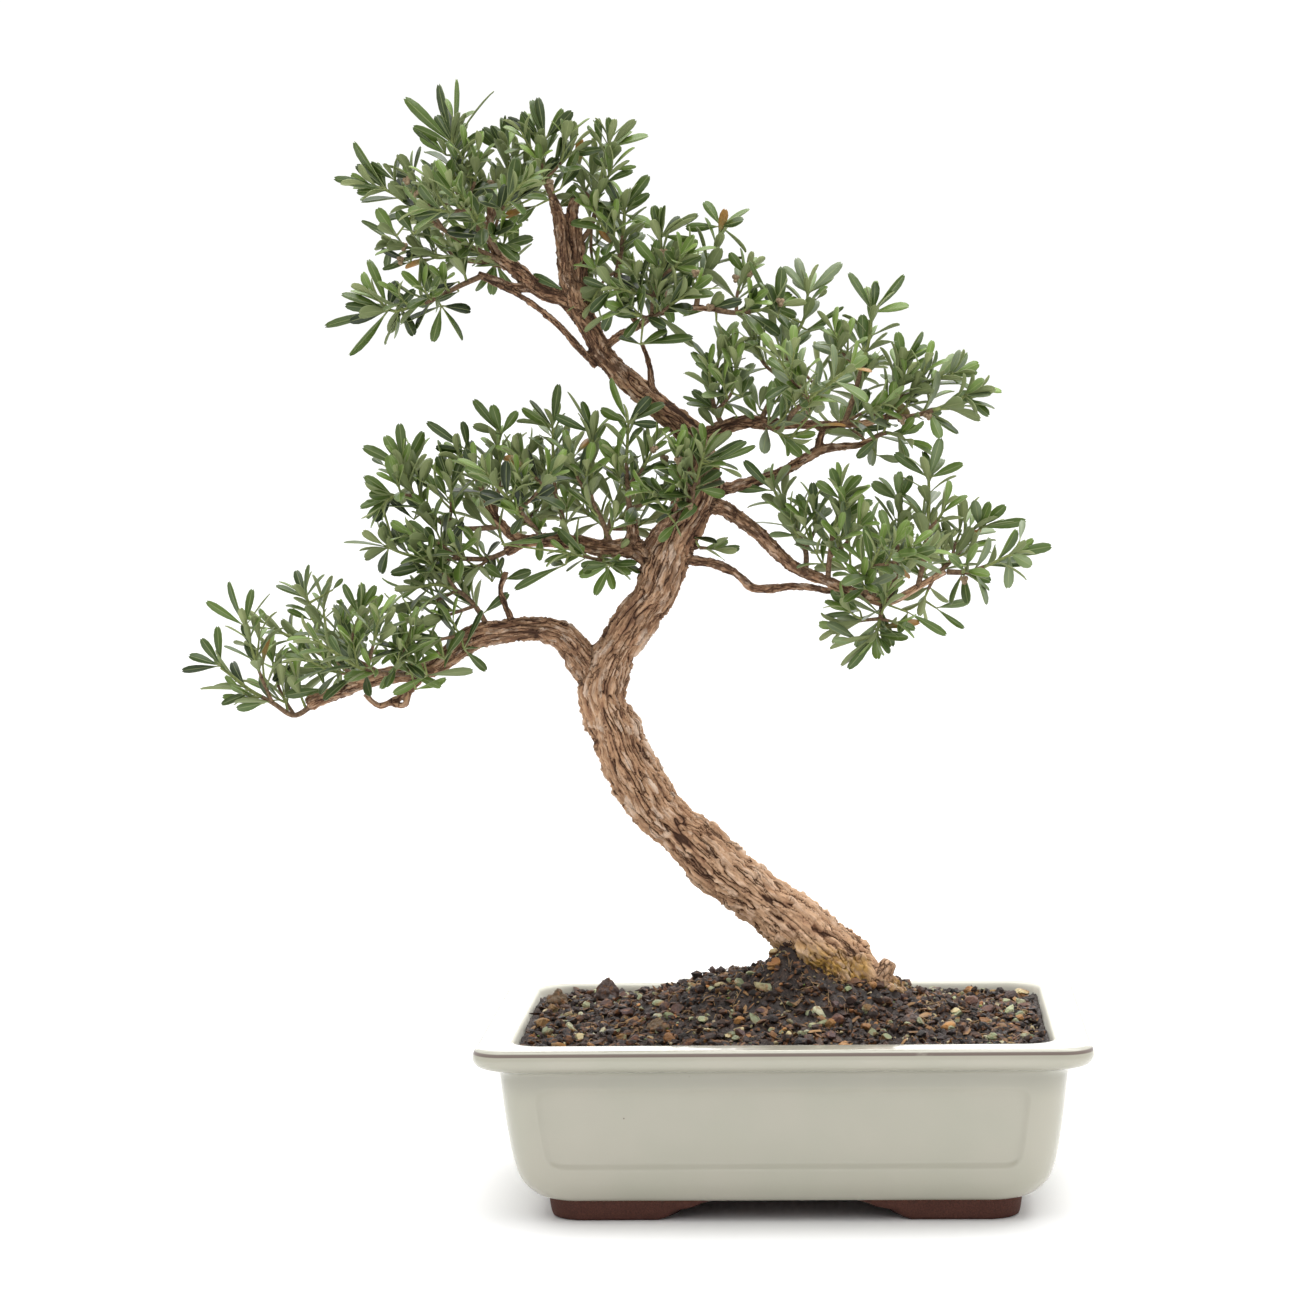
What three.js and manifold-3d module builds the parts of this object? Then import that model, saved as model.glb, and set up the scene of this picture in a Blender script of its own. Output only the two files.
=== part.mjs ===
// A Chinese boxwood bonsai in its pot: trunk and limbs, leafy sprays, potting soil, grit stones,
// and the screens and wire clips over the pot's drainage holes. Millimetres, +Z up, front towards -Y.

import * as THREE from 'three';
import { mergeVertices } from 'three/addons/utils/BufferGeometryUtils.js';
import Module from 'manifold-3d';

const library = await Module();
library.setup();

// Pot
const POT_LENGTH = 300;
const POT_DEPTH = 216;
const RIM_HEIGHT = 86;
const RIM_WIDTH = 19;
const RIM_CORNER = 22;
const BASE_HEIGHT = 8;
const FOOT_LEVEL = -2;
const FLOOR_HEIGHT = 18;
const FOOT_THICKNESS = 13;
const FOOT_TAPER = 4;
const FRONT_GAP = 123;
const END_GAP = 88;
const DRAIN_DIAMETER = 16;
const DRAIN_OFFSET = 60;
const CORNER_POINTS = 5;

// Each ring of the pot's wall: how far in from the rim's end, how far in from its front, and its height
const POT_OUTSIDE = [
  [40, 27, BASE_HEIGHT], [34, 22.5, 12], [26, 18, 22], [20.5, 15, 34], [16.5, 12.7, 50],
  [12.5, 11, 72], [5, 5, 75.3], [0, 0, 81], [3, 3, RIM_HEIGHT],
];
const POT_INSIDE = [
  [44, 33, FLOOR_HEIGHT], [36, 27, 24], [27.5, 23.5, 45], [22.5, 21, 70],
  [RIM_WIDTH, RIM_WIDTH, RIM_HEIGHT],
];

// Soil
const SOIL_EDGE = 79;
const MOUND_RISE = 31;
const MOUND_CENTRE = 12;
const MOUND_LEFT = 88;
const MOUND_RIGHT = 62;
const MOUND_DEEP = 54;
const SOIL_RINGS = [1, 0.84, 0.66, 0.48, 0.3, 0.14];

// Screens and clips over the drainage holes
const SCREEN_SIZE = 30;
const SCREEN_THICKNESS = 1.2;
const MESH_HOLE = 5;
const MESH_PITCH = 8;
const WIRE_RADIUS = 0.8;
const CLIP_LEG_OFFSET = 6.6;
const CLIP_ARM = 16;

// Leaves and twigs
const LEAF_LENGTH = 16;
const LEAF_WIDTH = 6;
const LEAF_THICKNESS = 1;
const LEAF_SPREAD = 42;
const STEM_PAIRS = [0.7, 0.94];
const TWIG_PAIRS = [0.9];
const STEM_RADIUS = [1.5, 0.8];
const TWIG_RADIUS = [1, 0.7];
const TWIG_SIDES = 3;
const TWIG_STEP = 18;
const LIMB_SIDES = 5;
const LIMB_STEP = 12;
const TRUNK_SIDES = 9;
const TRUNK_STEP = 12;

// The gap that neighbouring pieces keep, and how far a cut reaches past what it cuts
const GAP = 0.3;
const PAST = 2;

// How far a joined solid's faces may move where slivers are merged
const SMOOTHING = 0.08;

// The point that the tree is seen from
const EYE = new THREE.Vector3(43, -1860, 412);

// The trunk and limbs: x and z as seen from the front in the plane of the trunk, depth behind it, radius
const TRUNK = [
  [38, 82, 0, 27], [31, 97, 0, 23], [24, 110, 1, 18.5], [13.8, 120, 2, 16.2], [5, 130, 3, 15.6],
  [-7, 140, 4, 14], [-19.6, 150, 5, 13.6], [-32, 160, 6, 14.4], [-42, 170, 6, 14], [-53.5, 180, 6, 12.2],
  [-63.5, 190, 6, 12.4], [-70, 200, 5, 13.2], [-76, 210, 4, 13.2], [-81, 220, 3, 13], [-84, 230, 2, 12.4],
  [-88.4, 240, 1, 11.6], [-90.5, 252, 0, 12.4], [-87, 264, 0, 12], [-82.5, 272, 0, 10.4],
  [-77, 280, -1, 10],
  [-71, 290, -2, 9.8], [-63.6, 300, -3, 10], [-59.5, 310, -4, 10.6], [-56, 320, -4, 10.2],
  [-50, 330, -5, 9.4],
  [-44, 340, -5, 9.2], [-39, 350, -5, 8.4], [-38, 362, -4, 6.8], [-41, 374, -2, 6.4], [-48, 383, 0, 6],
  [-57.5, 390.5, 2, 5.2], [-68, 400, 5, 5.2], [-79, 410.5, 8, 4.5], [-87.5, 420, 10, 4.6],
  [-92, 430, 9, 4.6],
  [-96, 438, 7, 5], [-99.5, 446, 5, 5.6], [-100.5, 452, 5, 5],
];
const LIMBS = [
  // Roots
  [[34, 104, 0, 15], [46, 100, -2, 9], [56, 92, -3, 7], [68, 82, -4, 4]],
  [[22, 106, -6, 13], [20, 97, -24, 9], [18, 88, -40, 5]],
  [[22, 106, 6, 13], [22, 97, 24, 9], [24, 88, 38, 5]],
  [[10, 110, 0, 12], [-4, 102, -4, 9], [-20, 93, -10, 5]],
  // Left low limb, its sub-branch below and two rising twigs
  [[-91, 254, 0, 10], [-98, 264, -1, 8.4], [-104, 272, -2, 7], [-112, 279, -3, 5.6], [-122, 282, -5, 5],
    [-132, 282.5, -7, 4.8], [-142, 281, -8, 4.5], [-152, 277, -9, 4.8], [-160, 271, -10, 5],
    [-168, 265, -10, 4.2],
    [-178, 261, -10, 3.6], [-190, 260, -9, 3.6], [-202, 261, -8, 3.5], [-215, 257, -6, 3.4],
    [-228, 251, -4, 3.4],
    [-240, 245, -3, 3.4]],
  [[-182, 258, -10, 2.4], [-190, 250, -13, 2], [-197, 246, -15, 1.8], [-204, 244, -16, 1.6],
    [-211, 250, -17, 1.3]],
  [[-134, 283, -7, 1.8], [-139, 295, -8, 1.6], [-141, 302, -7, 1.5], [-138, 311, -5, 1.4]],
  // Left middle limb, its rising end and a bare stub
  [[-62, 314, -4, 7], [-71, 321, -2, 5.5], [-80, 322, 0, 4.4], [-92, 322.5, 3, 4.2], [-104, 325.5, 6, 4],
    [-116, 326.5, 8, 3.8], [-127, 326, 8, 3.2], [-138, 321, 5, 2.2]],
  [[-122, 326.5, 8, 2.8], [-133, 328.5, 8, 2.5], [-140, 335, 7, 2.4], [-145, 342, 7, 2.4],
    [-148, 351, 7, 1.9]],
  [[-67, 320, -3, 4], [-60, 331, -10, 3], [-54, 339, -16, 2.4], [-51, 350, -20, 1.8]],
  [[-73, 322, -2, 4], [-74, 334, -4, 3], [-75, 344, -6, 2]],
  // Thin lower right branch
  [[-50, 316.5, -4, 3], [-40, 315, -2, 2.2], [-32, 313.5, 0, 2], [-25, 310.5, 2, 1.9], [-19, 306, 3, 1.9],
    [-14, 301.5, 4, 2], [-4, 301, 4, 1.8], [6, 302, 3, 1.7], [16, 301, 0, 1.7], [26, 299, -6, 1.6],
    [34, 299.5, -11, 1.6]],
  // Middle right branch
  [[-40, 344, -5, 5], [-28, 341.5, -6, 4], [-20, 336, -7, 3.7], [-13, 331, -8, 3.6], [-7, 325, -9, 3.5],
    [-1, 319, -10, 3.3], [6, 312.5, -11, 3.2], [14, 308, -12, 3], [23, 304.5, -12, 2.7],
    [32, 300.5, -12, 2.5],
    [42, 296.5, -11, 2.4], [51, 293, -9, 2.2], [58, 294.5, -8, 2.2], [65, 298.5, -7, 2],
    [74, 303.5, -6, 1.8],
    [84, 308.5, -4, 1.4]],
  // Upper middle right branch and its link upwards
  [[-36, 351, -5, 5], [-27, 351, -2, 3.2], [-18, 353.5, 1, 2.9], [-8, 356, 4, 2.8], [2, 359.5, 6, 2.8],
    [11, 364.5, 8, 2.7], [21, 370, 9, 2.7], [30, 371.5, 9, 2], [40, 372, 9, 1.7], [48, 375, 8, 1.5]],
  [[20, 369, 9, 2.2], [21, 376, 8, 1.8], [23, 382, 6, 1.6]],
  // Upper right branch
  [[-41, 374, -2, 5], [-33, 379, 0, 4], [-24, 383, 1, 3.8], [-14, 384.5, 2, 3.8], [-4, 383.5, 3, 3],
    [8, 383, 4, 2.4], [20, 382.5, 5, 2.2], [32, 382.5, 5, 2], [44, 383, 4, 1.8], [56, 386.5, 3, 1.5]],
  // Bare stub with a spur
  [[-60, 394, 3, 3], [-63, 404, 3, 2.2], [-63.5, 412, 3, 1.9], [-65.5, 419, 3, 1.4], [-68, 426, 3, 1.2]],
  // Thin branch under the crown
  [[-87, 418, 10, 2.4], [-94.5, 422.5, 8, 1.7], [-100, 428.5, 6, 1.6], [-106, 435, 5, 1.5],
    [-112, 441.5, 5, 1.4],
    [-116, 448, 5, 1.4]],
  // Right part of the crown
  [[-88, 421, 10, 2.6], [-81, 427, 8, 2.1], [-74, 431, 6, 1.9], [-67, 434.5, 4, 1.8], [-60, 439, 2, 1.7],
    [-50, 442, 0, 1.6], [-40, 442, -1, 1.5], [-29, 440.5, -2, 1.4]],
  [[-69, 433.5, 5, 1.7], [-75, 443, 6, 1.5], [-80.5, 453, 8, 1.4], [-79, 463, 8, 1.2]],
  // Left part of the crown
  [[-98, 442, 6, 6], [-106, 447.5, 5, 4.4], [-114, 450, 5, 4.1], [-121, 454, 5, 4], [-127, 460, 5, 4],
    [-133, 465, 5, 3.8], [-138, 470, 5, 3.4], [-142, 477, 5, 2.4], [-142.5, 490, 5, 1.7],
    [-142, 503, 5, 1.6]],
  [[-121, 453, 5, 2.6], [-132, 454, 2, 2.2], [-141, 457.5, -1, 2], [-149, 461, -4, 1.7]],
  // The two stems of the crown
  [[-99, 448, 5, 4.6], [-97.8, 460, 6, 4], [-98.5, 472, 6, 3.4], [-100, 482, 6, 3.6], [-101, 490, 6, 3.2],
    [-98.5, 498, 6, 2.4]],
  [[-101, 449, 5, 4.6], [-105, 459, 3, 3.6], [-106, 470, 2, 3.2], [-107, 480, 2, 3.4],
    [-108.5, 490, 3, 3],
    [-111.5, 499, 3, 1.8], [-113, 506, 3, 1.5]],
];

// Leafy sprays: each has a stem that starts on a limb, and twigs that start on the stem; x, z and depth
const SPRAYS = {
  left_low_tip: [
    [[-236, 246, -3], [-247, 239.5, -6], [-258, 246, -9], [-270, 253, -9], [-281, 262, -7],
      [-290, 268, -5]],
    [[-258, 246, -9], [-263, 258, -13], [-267, 270, -16], [-271, 284, -18]],
  ],
  left_low_upper: [
    [[-204, 261, -8], [-216, 268, -14], [-226, 278, -18], [-234, 289, -20], [-240, 300, -20]],
    [[-216, 268, -14], [-216, 281, -22], [-212, 292, -26]],
  ],
  left_low_front: [
    [[-186, 260, -10], [-196, 260, -26], [-210, 262, -38], [-224, 270, -44], [-236, 278, -46]],
    [[-210, 262, -38], [-206, 275, -46], [-203, 288, -50]],
  ],
  left_low_back: [
    [[-214, 257, -6], [-222, 264, 8], [-232, 270, 20], [-246, 278, 26], [-260, 286, 28]],
    [[-222, 264, 8], [-214, 276, 20], [-210, 290, 26]],
  ],
  left_low_inner: [
    [[-146, 280, -8], [-154, 294, -10], [-163, 302, -11], [-174, 305, -13], [-186, 303, -15]],
    [[-163, 302, -11], [-170, 311, -14], [-178, 317, -17]],
  ],
  left_mid_tip: [
    [[-130, 325, 7], [-146, 318, 2], [-162, 318, -4], [-176, 318, -8], [-190, 321, -10],
      [-199, 325, -10]],
    [[-162, 318, -4], [-172, 326, -10], [-184, 330, -14]],
  ],
  left_mid_outer: [
    [[-139, 334, 7], [-152, 333, 6], [-166, 334, 4], [-176, 341, 2], [-184, 350, 0], [-189, 364, 0]],
    [[-166, 334, 4], [-165, 346, 0], [-165, 358, -2]],
    [[-184, 350, 0], [-194, 350, -4], [-200, 345, -6]],
  ],
  left_mid_top: [
    [[-147, 348, 7], [-151, 358, 5], [-155, 368, 4], [-157, 376, 4]],
  ],
  left_mid_high: [
    [[-143, 339, 7], [-140, 352, 12], [-139, 366, 14], [-139, 381, 14]],
    [[-140, 352, 12], [-131, 362, 18], [-126, 376, 20]],
  ],
  left_mid_inner: [
    [[-106, 326, 7], [-109, 338, 8], [-112, 350, 8], [-113, 366, 7], [-113, 383, 6]],
    [[-112, 350, 8], [-122, 358, 4], [-129, 368, 0]],
  ],
  left_mid_front: [
    [[-118, 326.5, 8], [-124, 332, -12], [-132, 337, -28], [-142, 344, -40], [-150, 354, -46]],
    [[-132, 337, -28], [-122, 346, -38], [-114, 358, -44]],
  ],
  left_mid_back: [
    [[-126, 327, 8], [-134, 331, 24], [-144, 338, 38], [-154, 348, 46], [-162, 360, 48]],
    [[-134, 331, 24], [-122, 342, 36], [-114, 356, 42]],
  ],
  left_mid_under: [
    [[-92, 322, 3], [-89, 316, -4], [-85, 314, -8]],
  ],
  centre_left: [
    [[-84, 323, 1], [-89, 336, -2], [-94, 348, -4], [-94, 362, -5], [-93, 378, -5]],
    [[-94, 348, -4], [-101, 358, -12], [-104, 370, -15]],
  ],
  centre_tall: [
    [[-75, 342, -6], [-76, 353, -10], [-76, 367, -12], [-75, 383, -12]],
    [[-76, 353, -10], [-68, 362, -16], [-62, 373, -18]],
  ],
  centre_back: [
    [[-88, 322, 2], [-86, 332, 18], [-82, 344, 30], [-78, 358, 36]],
    [[-86, 332, 18], [-98, 342, 30], [-106, 354, 36]],
  ],
  trunk_front: [
    [[-44, 340, -13], [-43, 350, -20], [-40, 360, -24], [-37, 370, -26]],
    [[-43, 350, -20], [-50, 360, -26], [-51, 370, -28]],
  ],
  crown_top: [
    [[-139, 473, 5], [-149, 483, 0], [-156, 494, -3], [-160, 506, -5], [-161, 521, -5], [-160, 538, -5]],
    [[-156, 494, -3], [-150, 506, -9], [-148, 520, -12]],
  ],
  crown_left: [
    [[-134, 466, 5], [-150, 473, -4], [-166, 483, -12], [-180, 493, -17], [-192, 502, -19],
      [-202, 506, -19]],
    [[-166, 483, -12], [-174, 496, -18], [-181, 509, -20]],
  ],
  crown_left_low: [
    [[-129, 462, 5], [-144, 466, 12], [-160, 468, 16], [-176, 472, 18], [-189, 476, 18]],
    [[-160, 468, 16], [-170, 480, 20], [-178, 490, 22]],
  ],
  crown_corner: [
    [[-146, 460, -3], [-158, 455, -8], [-170, 449, -12], [-182, 445, -14], [-193, 443, -14],
      [-201, 450, -14]],
    [[-158, 455, -8], [-163, 448, -12], [-168, 441, -14]],
  ],
  crown_mid: [
    [[-142.5, 487, 5], [-137, 497, 10], [-134, 508, 12], [-133, 522, 12]],
    [[-137, 497, 10], [-128, 504, 18], [-124, 514, 20]],
  ],
  crown_high: [
    [[-110.5, 496, 3], [-115, 507, 0], [-117, 519, -2], [-119, 531, -2]],
    [[-115, 507, 0], [-107, 515, -6], [-104, 527, -8]],
  ],
  crown_front: [
    [[-124, 457, 5], [-129, 466, -14], [-134, 476, -28], [-142, 487, -38], [-150, 498, -44]],
    [[-134, 476, -28], [-123, 486, -40], [-115, 497, -46]],
    [[-142, 487, -38], [-158, 490, -48], [-171, 493, -52]],
  ],
  crown_back: [
    [[-126, 459, 5], [-130, 467, 22], [-136, 478, 36], [-144, 490, 44], [-151, 502, 48]],
    [[-136, 478, 36], [-124, 488, 46], [-116, 500, 50]],
    [[-144, 490, 44], [-158, 494, 50], [-170, 498, 52]],
  ],
  peak_right: [
    [[-98.5, 474, 6], [-92, 483, 6], [-89, 494, 5], [-87, 505, 4], [-84, 517, 4], [-82, 526, 4]],
    [[-89, 494, 5], [-96, 503, 14], [-98, 514, 18]],
  ],
  peak_inner: [
    [[-79, 461, 8], [-77, 472, 6], [-75.5, 483, 5], [-75, 494, 5]],
    [[-77, 472, 6], [-84, 480, 0], [-89, 489, -3]],
  ],
  crown_right: [
    [[-62, 437.5, 2], [-61, 449, -4], [-58, 459, -7], [-57, 469, -8], [-57, 480, -8]],
    [[-58, 459, -7], [-50, 467, -12], [-46, 476, -14]],
  ],
  crown_right_tip: [
    [[-40, 442, -1], [-38, 453, 2], [-34, 463, 3], [-30, 473, 3], [-27, 483, 3]],
  ],
  crown_right_low: [
    [[-30, 440.5, -2], [-20, 439, -4], [-9, 440, -6], [1, 442, -7]],
    [[-20, 439, -4], [-19, 450, 2], [-15, 459, 4]],
  ],
  crown_right_back: [
    [[-56, 440.5, 1], [-56, 448, 16], [-52, 458, 28], [-46, 467, 34]],
    [[-56, 448, 16], [-67, 456, 28], [-76, 466, 34]],
  ],
  right_upper_inner: [
    [[-27, 382, 1], [-31, 390, -5], [-33, 400, -9], [-34, 410, -11]],
    [[-31, 390, -5], [-23, 399, -12], [-21, 411, -15]],
  ],
  right_upper_rising: [
    [[-9, 384, 3], [-3, 396, 4], [2, 406, 4], [6, 417, 4], [10, 428, 3], [14, 436, 2], [16, 449, 2]],
    [[2, 406, 4], [-7, 414, 2], [-12, 426, 1]],
  ],
  right_upper_tall: [
    [[33, 382.5, 5], [38, 396, 6], [42, 410, 6], [46, 424, 6], [48, 439, 6]],
    [[42, 410, 6], [33, 418, 0], [29, 428, -2]],
  ],
  right_upper_out: [
    [[46, 383.5, 4], [55, 394, 4], [61, 404, 4], [65, 416, 4]],
    [[55, 394, 4], [68, 398, 2], [78, 404, 0], [88, 407, 0]],
  ],
  right_upper_tip: [
    [[54, 386, 3], [66, 386, -4], [78, 389, -8], [90, 394, -10], [98, 398, -10]],
  ],
  right_upper_front: [
    [[4, 383, 4], [8, 389, -14], [16, 396, -28], [26, 403, -38], [36, 410, -44]],
    [[16, 396, -28], [7, 405, -38], [1, 416, -42]],
  ],
  right_upper_back: [
    [[12, 383, 4], [16, 390, 22], [24, 398, 36], [34, 406, 44], [46, 412, 48]],
    [[24, 398, 36], [14, 408, 44], [8, 420, 46]],
  ],
  right_under: [
    [[44, 373.5, 9], [54, 378, 6], [63, 375, 2]],
  ],
  right_low_inner: [
    [[13, 308.5, -12], [13, 320, -8], [7, 332, -4], [1, 343, -2], [-3, 352, -2]],
    [[13, 320, -8], [18, 331, -12], [17, 343, -14]],
  ],
  right_low_second: [
    [[24, 304, -12], [25, 316, -16], [27, 328, -18], [30, 340, -19], [31, 350, -19]],
    [[25, 316, -16], [35, 325, -26], [41, 334, -30]],
  ],
  right_low_third: [
    [[55, 293.5, -9], [58, 307, -4], [59, 321, -1], [60, 335, 1], [60, 346, 2]],
    [[58, 307, -4], [49, 318, 6], [46, 330, 10]],
  ],
  right_low_tall: [
    [[69, 300.5, -7], [72, 314, -8], [74, 329, -8], [75, 343, -7], [75, 356, -6]],
    [[74, 329, -8], [82, 338, -14], [87, 348, -16]],
  ],
  right_low_out: [
    [[77, 305, -5], [86, 314, 1], [95, 324, 6], [103, 332, 8]],
    [[86, 314, 1], [86, 326, 10], [88, 337, 14]],
  ],
  right_low_tip: [
    [[84, 308, -4], [95, 308, -10], [106, 312, -14], [117, 317, -16]],
  ],
  right_low_bottom: [
    [[51, 293, -9], [50, 285, -14], [48, 277, -17]],
    [[50, 285, -14], [58, 283, -20]],
  ],
  right_low_front: [
    [[42, 296.5, -11], [44, 302, -24], [46, 311, -36], [50, 320, -42]],
    [[46, 311, -36], [60, 314, -44], [72, 318, -46]],
  ],
  right_low_back: [
    [[46, 295, -10], [50, 302, 8], [54, 312, 24], [58, 324, 34]],
    [[54, 312, 24], [68, 316, 34], [80, 322, 38]],
    [[50, 302, 8], [36, 310, 22], [28, 320, 30]],
  ],
};

// Larger grit stones on the soil: x, y, radius and how flat each is
const STONES = [[-98, 44, 8, 0.8], [-118, 30, 6.5, 0.7], [62, -48, 6.5, 0.75], [-62, -52, 6, 0.75]];
const STONE_INRADIUS = 0.79;
const STONE_PROUD = 0.35;

// Colours, roughness
const GLAZE = [0xc9c8b6, 0.25];
const BARK = [0x8a6a4c, 0.85];
const SOIL = [0x2c221d, 0.95];
const FOLIAGE = [0x3f6130, 0.45];
const STONE = [0x8c7a5c, 0.8];
const LAVA = [0x33282a, 0.9];
const SCREEN_PLASTIC = [0x1c1c1c, 0.6];
const WIRE = [0x9a9d9f, 0.35];

// Solids

function solidOf(geometry) {
  const bare = geometry.clone();
  bare.deleteAttribute('normal');
  bare.deleteAttribute('uv');
  const merged = mergeVertices(bare, 1e-4);
  return new library.Manifold(new library.Mesh({
    numProp: 3,
    vertProperties: new Float32Array(merged.attributes.position.array),
    triVerts: new Uint32Array(merged.index.array),
  }));
}

function joined(solids) {
  return solids.reduce((whole, next) => whole.add(next));
}

// The largest of the bodies that a cut leaves
function largest(solid) {
  return solid.decompose().reduce((best, next) => (next.volume() > best.volume() ? next : best));
}

function box(sizeX, sizeY, sizeZ, x, y, z) {
  return solidOf(new THREE.BoxGeometry(sizeX, sizeY, sizeZ).translate(x, y, z));
}

function meshOf(name, solid, [color, roughness], metalness = 0) {
  const { numProp, vertProperties, triVerts } = solid.getMesh();
  const position = new Float32Array(vertProperties.length / numProp * 3);
  for (let i = 0; i < position.length; i++) {
    position[i] = vertProperties[Math.floor(i / 3) * numProp + (i % 3)];
  }
  const geometry = new THREE.BufferGeometry();
  geometry.setAttribute('position', new THREE.BufferAttribute(position, 3));
  geometry.setIndex(new THREE.BufferAttribute(triVerts, 1));
  geometry.computeVertexNormals();
  const mesh = new THREE.Mesh(geometry, new THREE.MeshStandardMaterial({ color, roughness, metalness }));
  mesh.name = name;
  return mesh;
}

// A closed skin of rings, shaped by place(ring, spoke, point): the spoke is a unit direction on the
// skin, and zero at the middle of an end
function ringedSkin(rings, sides, place) {
  const geometry = new THREE.CylinderGeometry(1, 1, 1, sides, rings - 1);
  const position = geometry.attributes.position;
  const point = new THREE.Vector3();
  const spoke = new THREE.Vector2();
  for (let i = 0; i < position.count; i++) {
    const ring = Math.round((position.getY(i) + 0.5) * (rings - 1));
    spoke.set(position.getX(i), -position.getZ(i));
    place(ring, spoke, point);
    position.setXYZ(i, point.x, point.y, point.z);
  }
  return solidOf(geometry);
}

// A place on the tree: x and z as seen from the eye in the plane y = 0, pushed back along the line of sight
function at([x, z, depth = 0]) {
  const away = 1 - depth / EYE.y;
  return new THREE.Vector3(EYE.x + (x - EYE.x) * away, depth, EYE.z + (z - EYE.z) * away);
}

// A tapering limb through stations of x, z, depth and radius, grown all round by some thickness
function limb(stations, sides, step, grown = 0) {
  const middle = new THREE.CatmullRomCurve3(stations.map(at), false, 'centripetal');
  const steps = Math.max(2, Math.round(middle.getLength() / step));
  const frames = middle.computeFrenetFrames(steps, false);
  return ringedSkin(steps + 1, sides, (ring, spoke, point) => {
    const station = middle.getUtoTmapping(ring / steps) * (stations.length - 1);
    const before = Math.min(Math.floor(station), stations.length - 2);
    const [, , , radiusBefore] = stations[before];
    const [, , , radiusAfter] = stations[before + 1];
    const radius = THREE.MathUtils.lerp(radiusBefore, radiusAfter, station - before) + grown;
    const end = ring === 0 ? -grown : (ring === steps ? grown : 0);
    point.copy(middle.getPointAt(ring / steps))
      .addScaledVector(frames.tangents[ring], end)
      .addScaledVector(frames.normals[ring], spoke.x * radius)
      .addScaledVector(frames.binormals[ring], spoke.y * radius);
  });
}

// Pot

// A point of a rectangle with round corners, on a spoke from its middle
function outlinePoint(spoke, halfLength, halfDepth, corner) {
  const outlinePoints = 4 * CORNER_POINTS;
  const turn = Math.atan2(spoke.y, spoke.x) / (2 * Math.PI) + 1;
  const index = Math.round(turn * outlinePoints) % outlinePoints;
  const quarter = Math.floor(index / CORNER_POINTS);
  const angle = (quarter + (index % CORNER_POINTS) / (CORNER_POINTS - 1)) * Math.PI / 2;
  const sideX = quarter === 0 || quarter === 3 ? 1 : -1;
  const sideY = quarter < 2 ? 1 : -1;
  return new THREE.Vector2(
    sideX * (halfLength - corner) + corner * Math.cos(angle),
    sideY * (halfDepth - corner) + corner * Math.sin(angle),
  );
}

// A point of one of the pot's rings, kept a gap inside it
function potPoint([endInset, frontInset, height], spoke, gap, point) {
  point.set(0, 0, height);
  if (spoke.lengthSq() < 0.5) {
    return;
  }
  const halfLength = POT_LENGTH / 2 - endInset - gap;
  const halfDepth = POT_DEPTH / 2 - frontInset - gap;
  const outline = outlinePoint(spoke, halfLength, halfDepth, RIM_CORNER - frontInset / 3);
  point.set(outline.x, outline.y, height);
}

// The scalloped gap between two feet, seen along the other way
function footGap(halfWidth) {
  const outline = new THREE.Shape();
  outline.moveTo(-halfWidth, FOOT_LEVEL - PAST);
  outline.lineTo(-halfWidth, FOOT_LEVEL);
  outline.quadraticCurveTo(-halfWidth + 8, FOOT_LEVEL + 1, -halfWidth + 11, FOOT_LEVEL + 4);
  outline.quadraticCurveTo(-halfWidth + 14, FOOT_LEVEL + 7, -halfWidth + 24, FOOT_LEVEL + 7);
  outline.lineTo(-halfWidth + 28, BASE_HEIGHT);
  outline.lineTo(halfWidth - 28, BASE_HEIGHT);
  outline.lineTo(halfWidth - 24, FOOT_LEVEL + 7);
  outline.quadraticCurveTo(halfWidth - 14, FOOT_LEVEL + 7, halfWidth - 11, FOOT_LEVEL + 4);
  outline.quadraticCurveTo(halfWidth - 8, FOOT_LEVEL + 1, halfWidth, FOOT_LEVEL);
  outline.lineTo(halfWidth, FOOT_LEVEL - PAST);
  const settings = { depth: POT_LENGTH, bevelEnabled: false, curveSegments: 3 };
  return new THREE.ExtrudeGeometry(outline, settings).translate(0, 0, -POT_LENGTH / 2).rotateX(Math.PI / 2);
}

function ringSolid(rings, gap) {
  const place = (ring, spoke, point) => potPoint(rings[ring], spoke, gap, point);
  return ringedSkin(rings.length, 4 * CORNER_POINTS, place);
}

function feet() {
  const [endInset, frontInset] = POT_OUTSIDE[0];
  const top = [endInset, frontInset, BASE_HEIGHT + 1];
  const foot = [endInset + FOOT_TAPER, frontInset + FOOT_TAPER, FOOT_LEVEL];
  const plinth = ringSolid([foot, top], 0);
  const [footEnd, footFront] = foot;
  const below = [footEnd, footFront, FOOT_LEVEL - PAST];
  const hollow = ringSolid([below, [footEnd, footFront, BASE_HEIGHT]], FOOT_THICKNESS);
  return plinth
    .subtract(hollow)
    .subtract(solidOf(footGap(FRONT_GAP / 2)))
    .subtract(solidOf(footGap(END_GAP / 2).rotateZ(Math.PI / 2)));
}

function potSolid() {
  const inside = [...POT_INSIDE];
  const [rimEnd, rimFront] = inside[inside.length - 1];
  inside.push([rimEnd, rimFront, RIM_HEIGHT + PAST]);
  let pot = ringSolid(POT_OUTSIDE, 0).subtract(ringSolid(inside, 0)).add(feet());
  for (const side of [-1, 1]) {
    const drain = new THREE.CylinderGeometry(DRAIN_DIAMETER / 2, DRAIN_DIAMETER / 2, FLOOR_HEIGHT, 16);
    drain.rotateX(Math.PI / 2).translate(side * DRAIN_OFFSET, 0, BASE_HEIGHT + FLOOR_HEIGHT / 4);
    pot = pot.subtract(solidOf(drain));
  }
  return pot;
}

// Screens and clips

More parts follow.
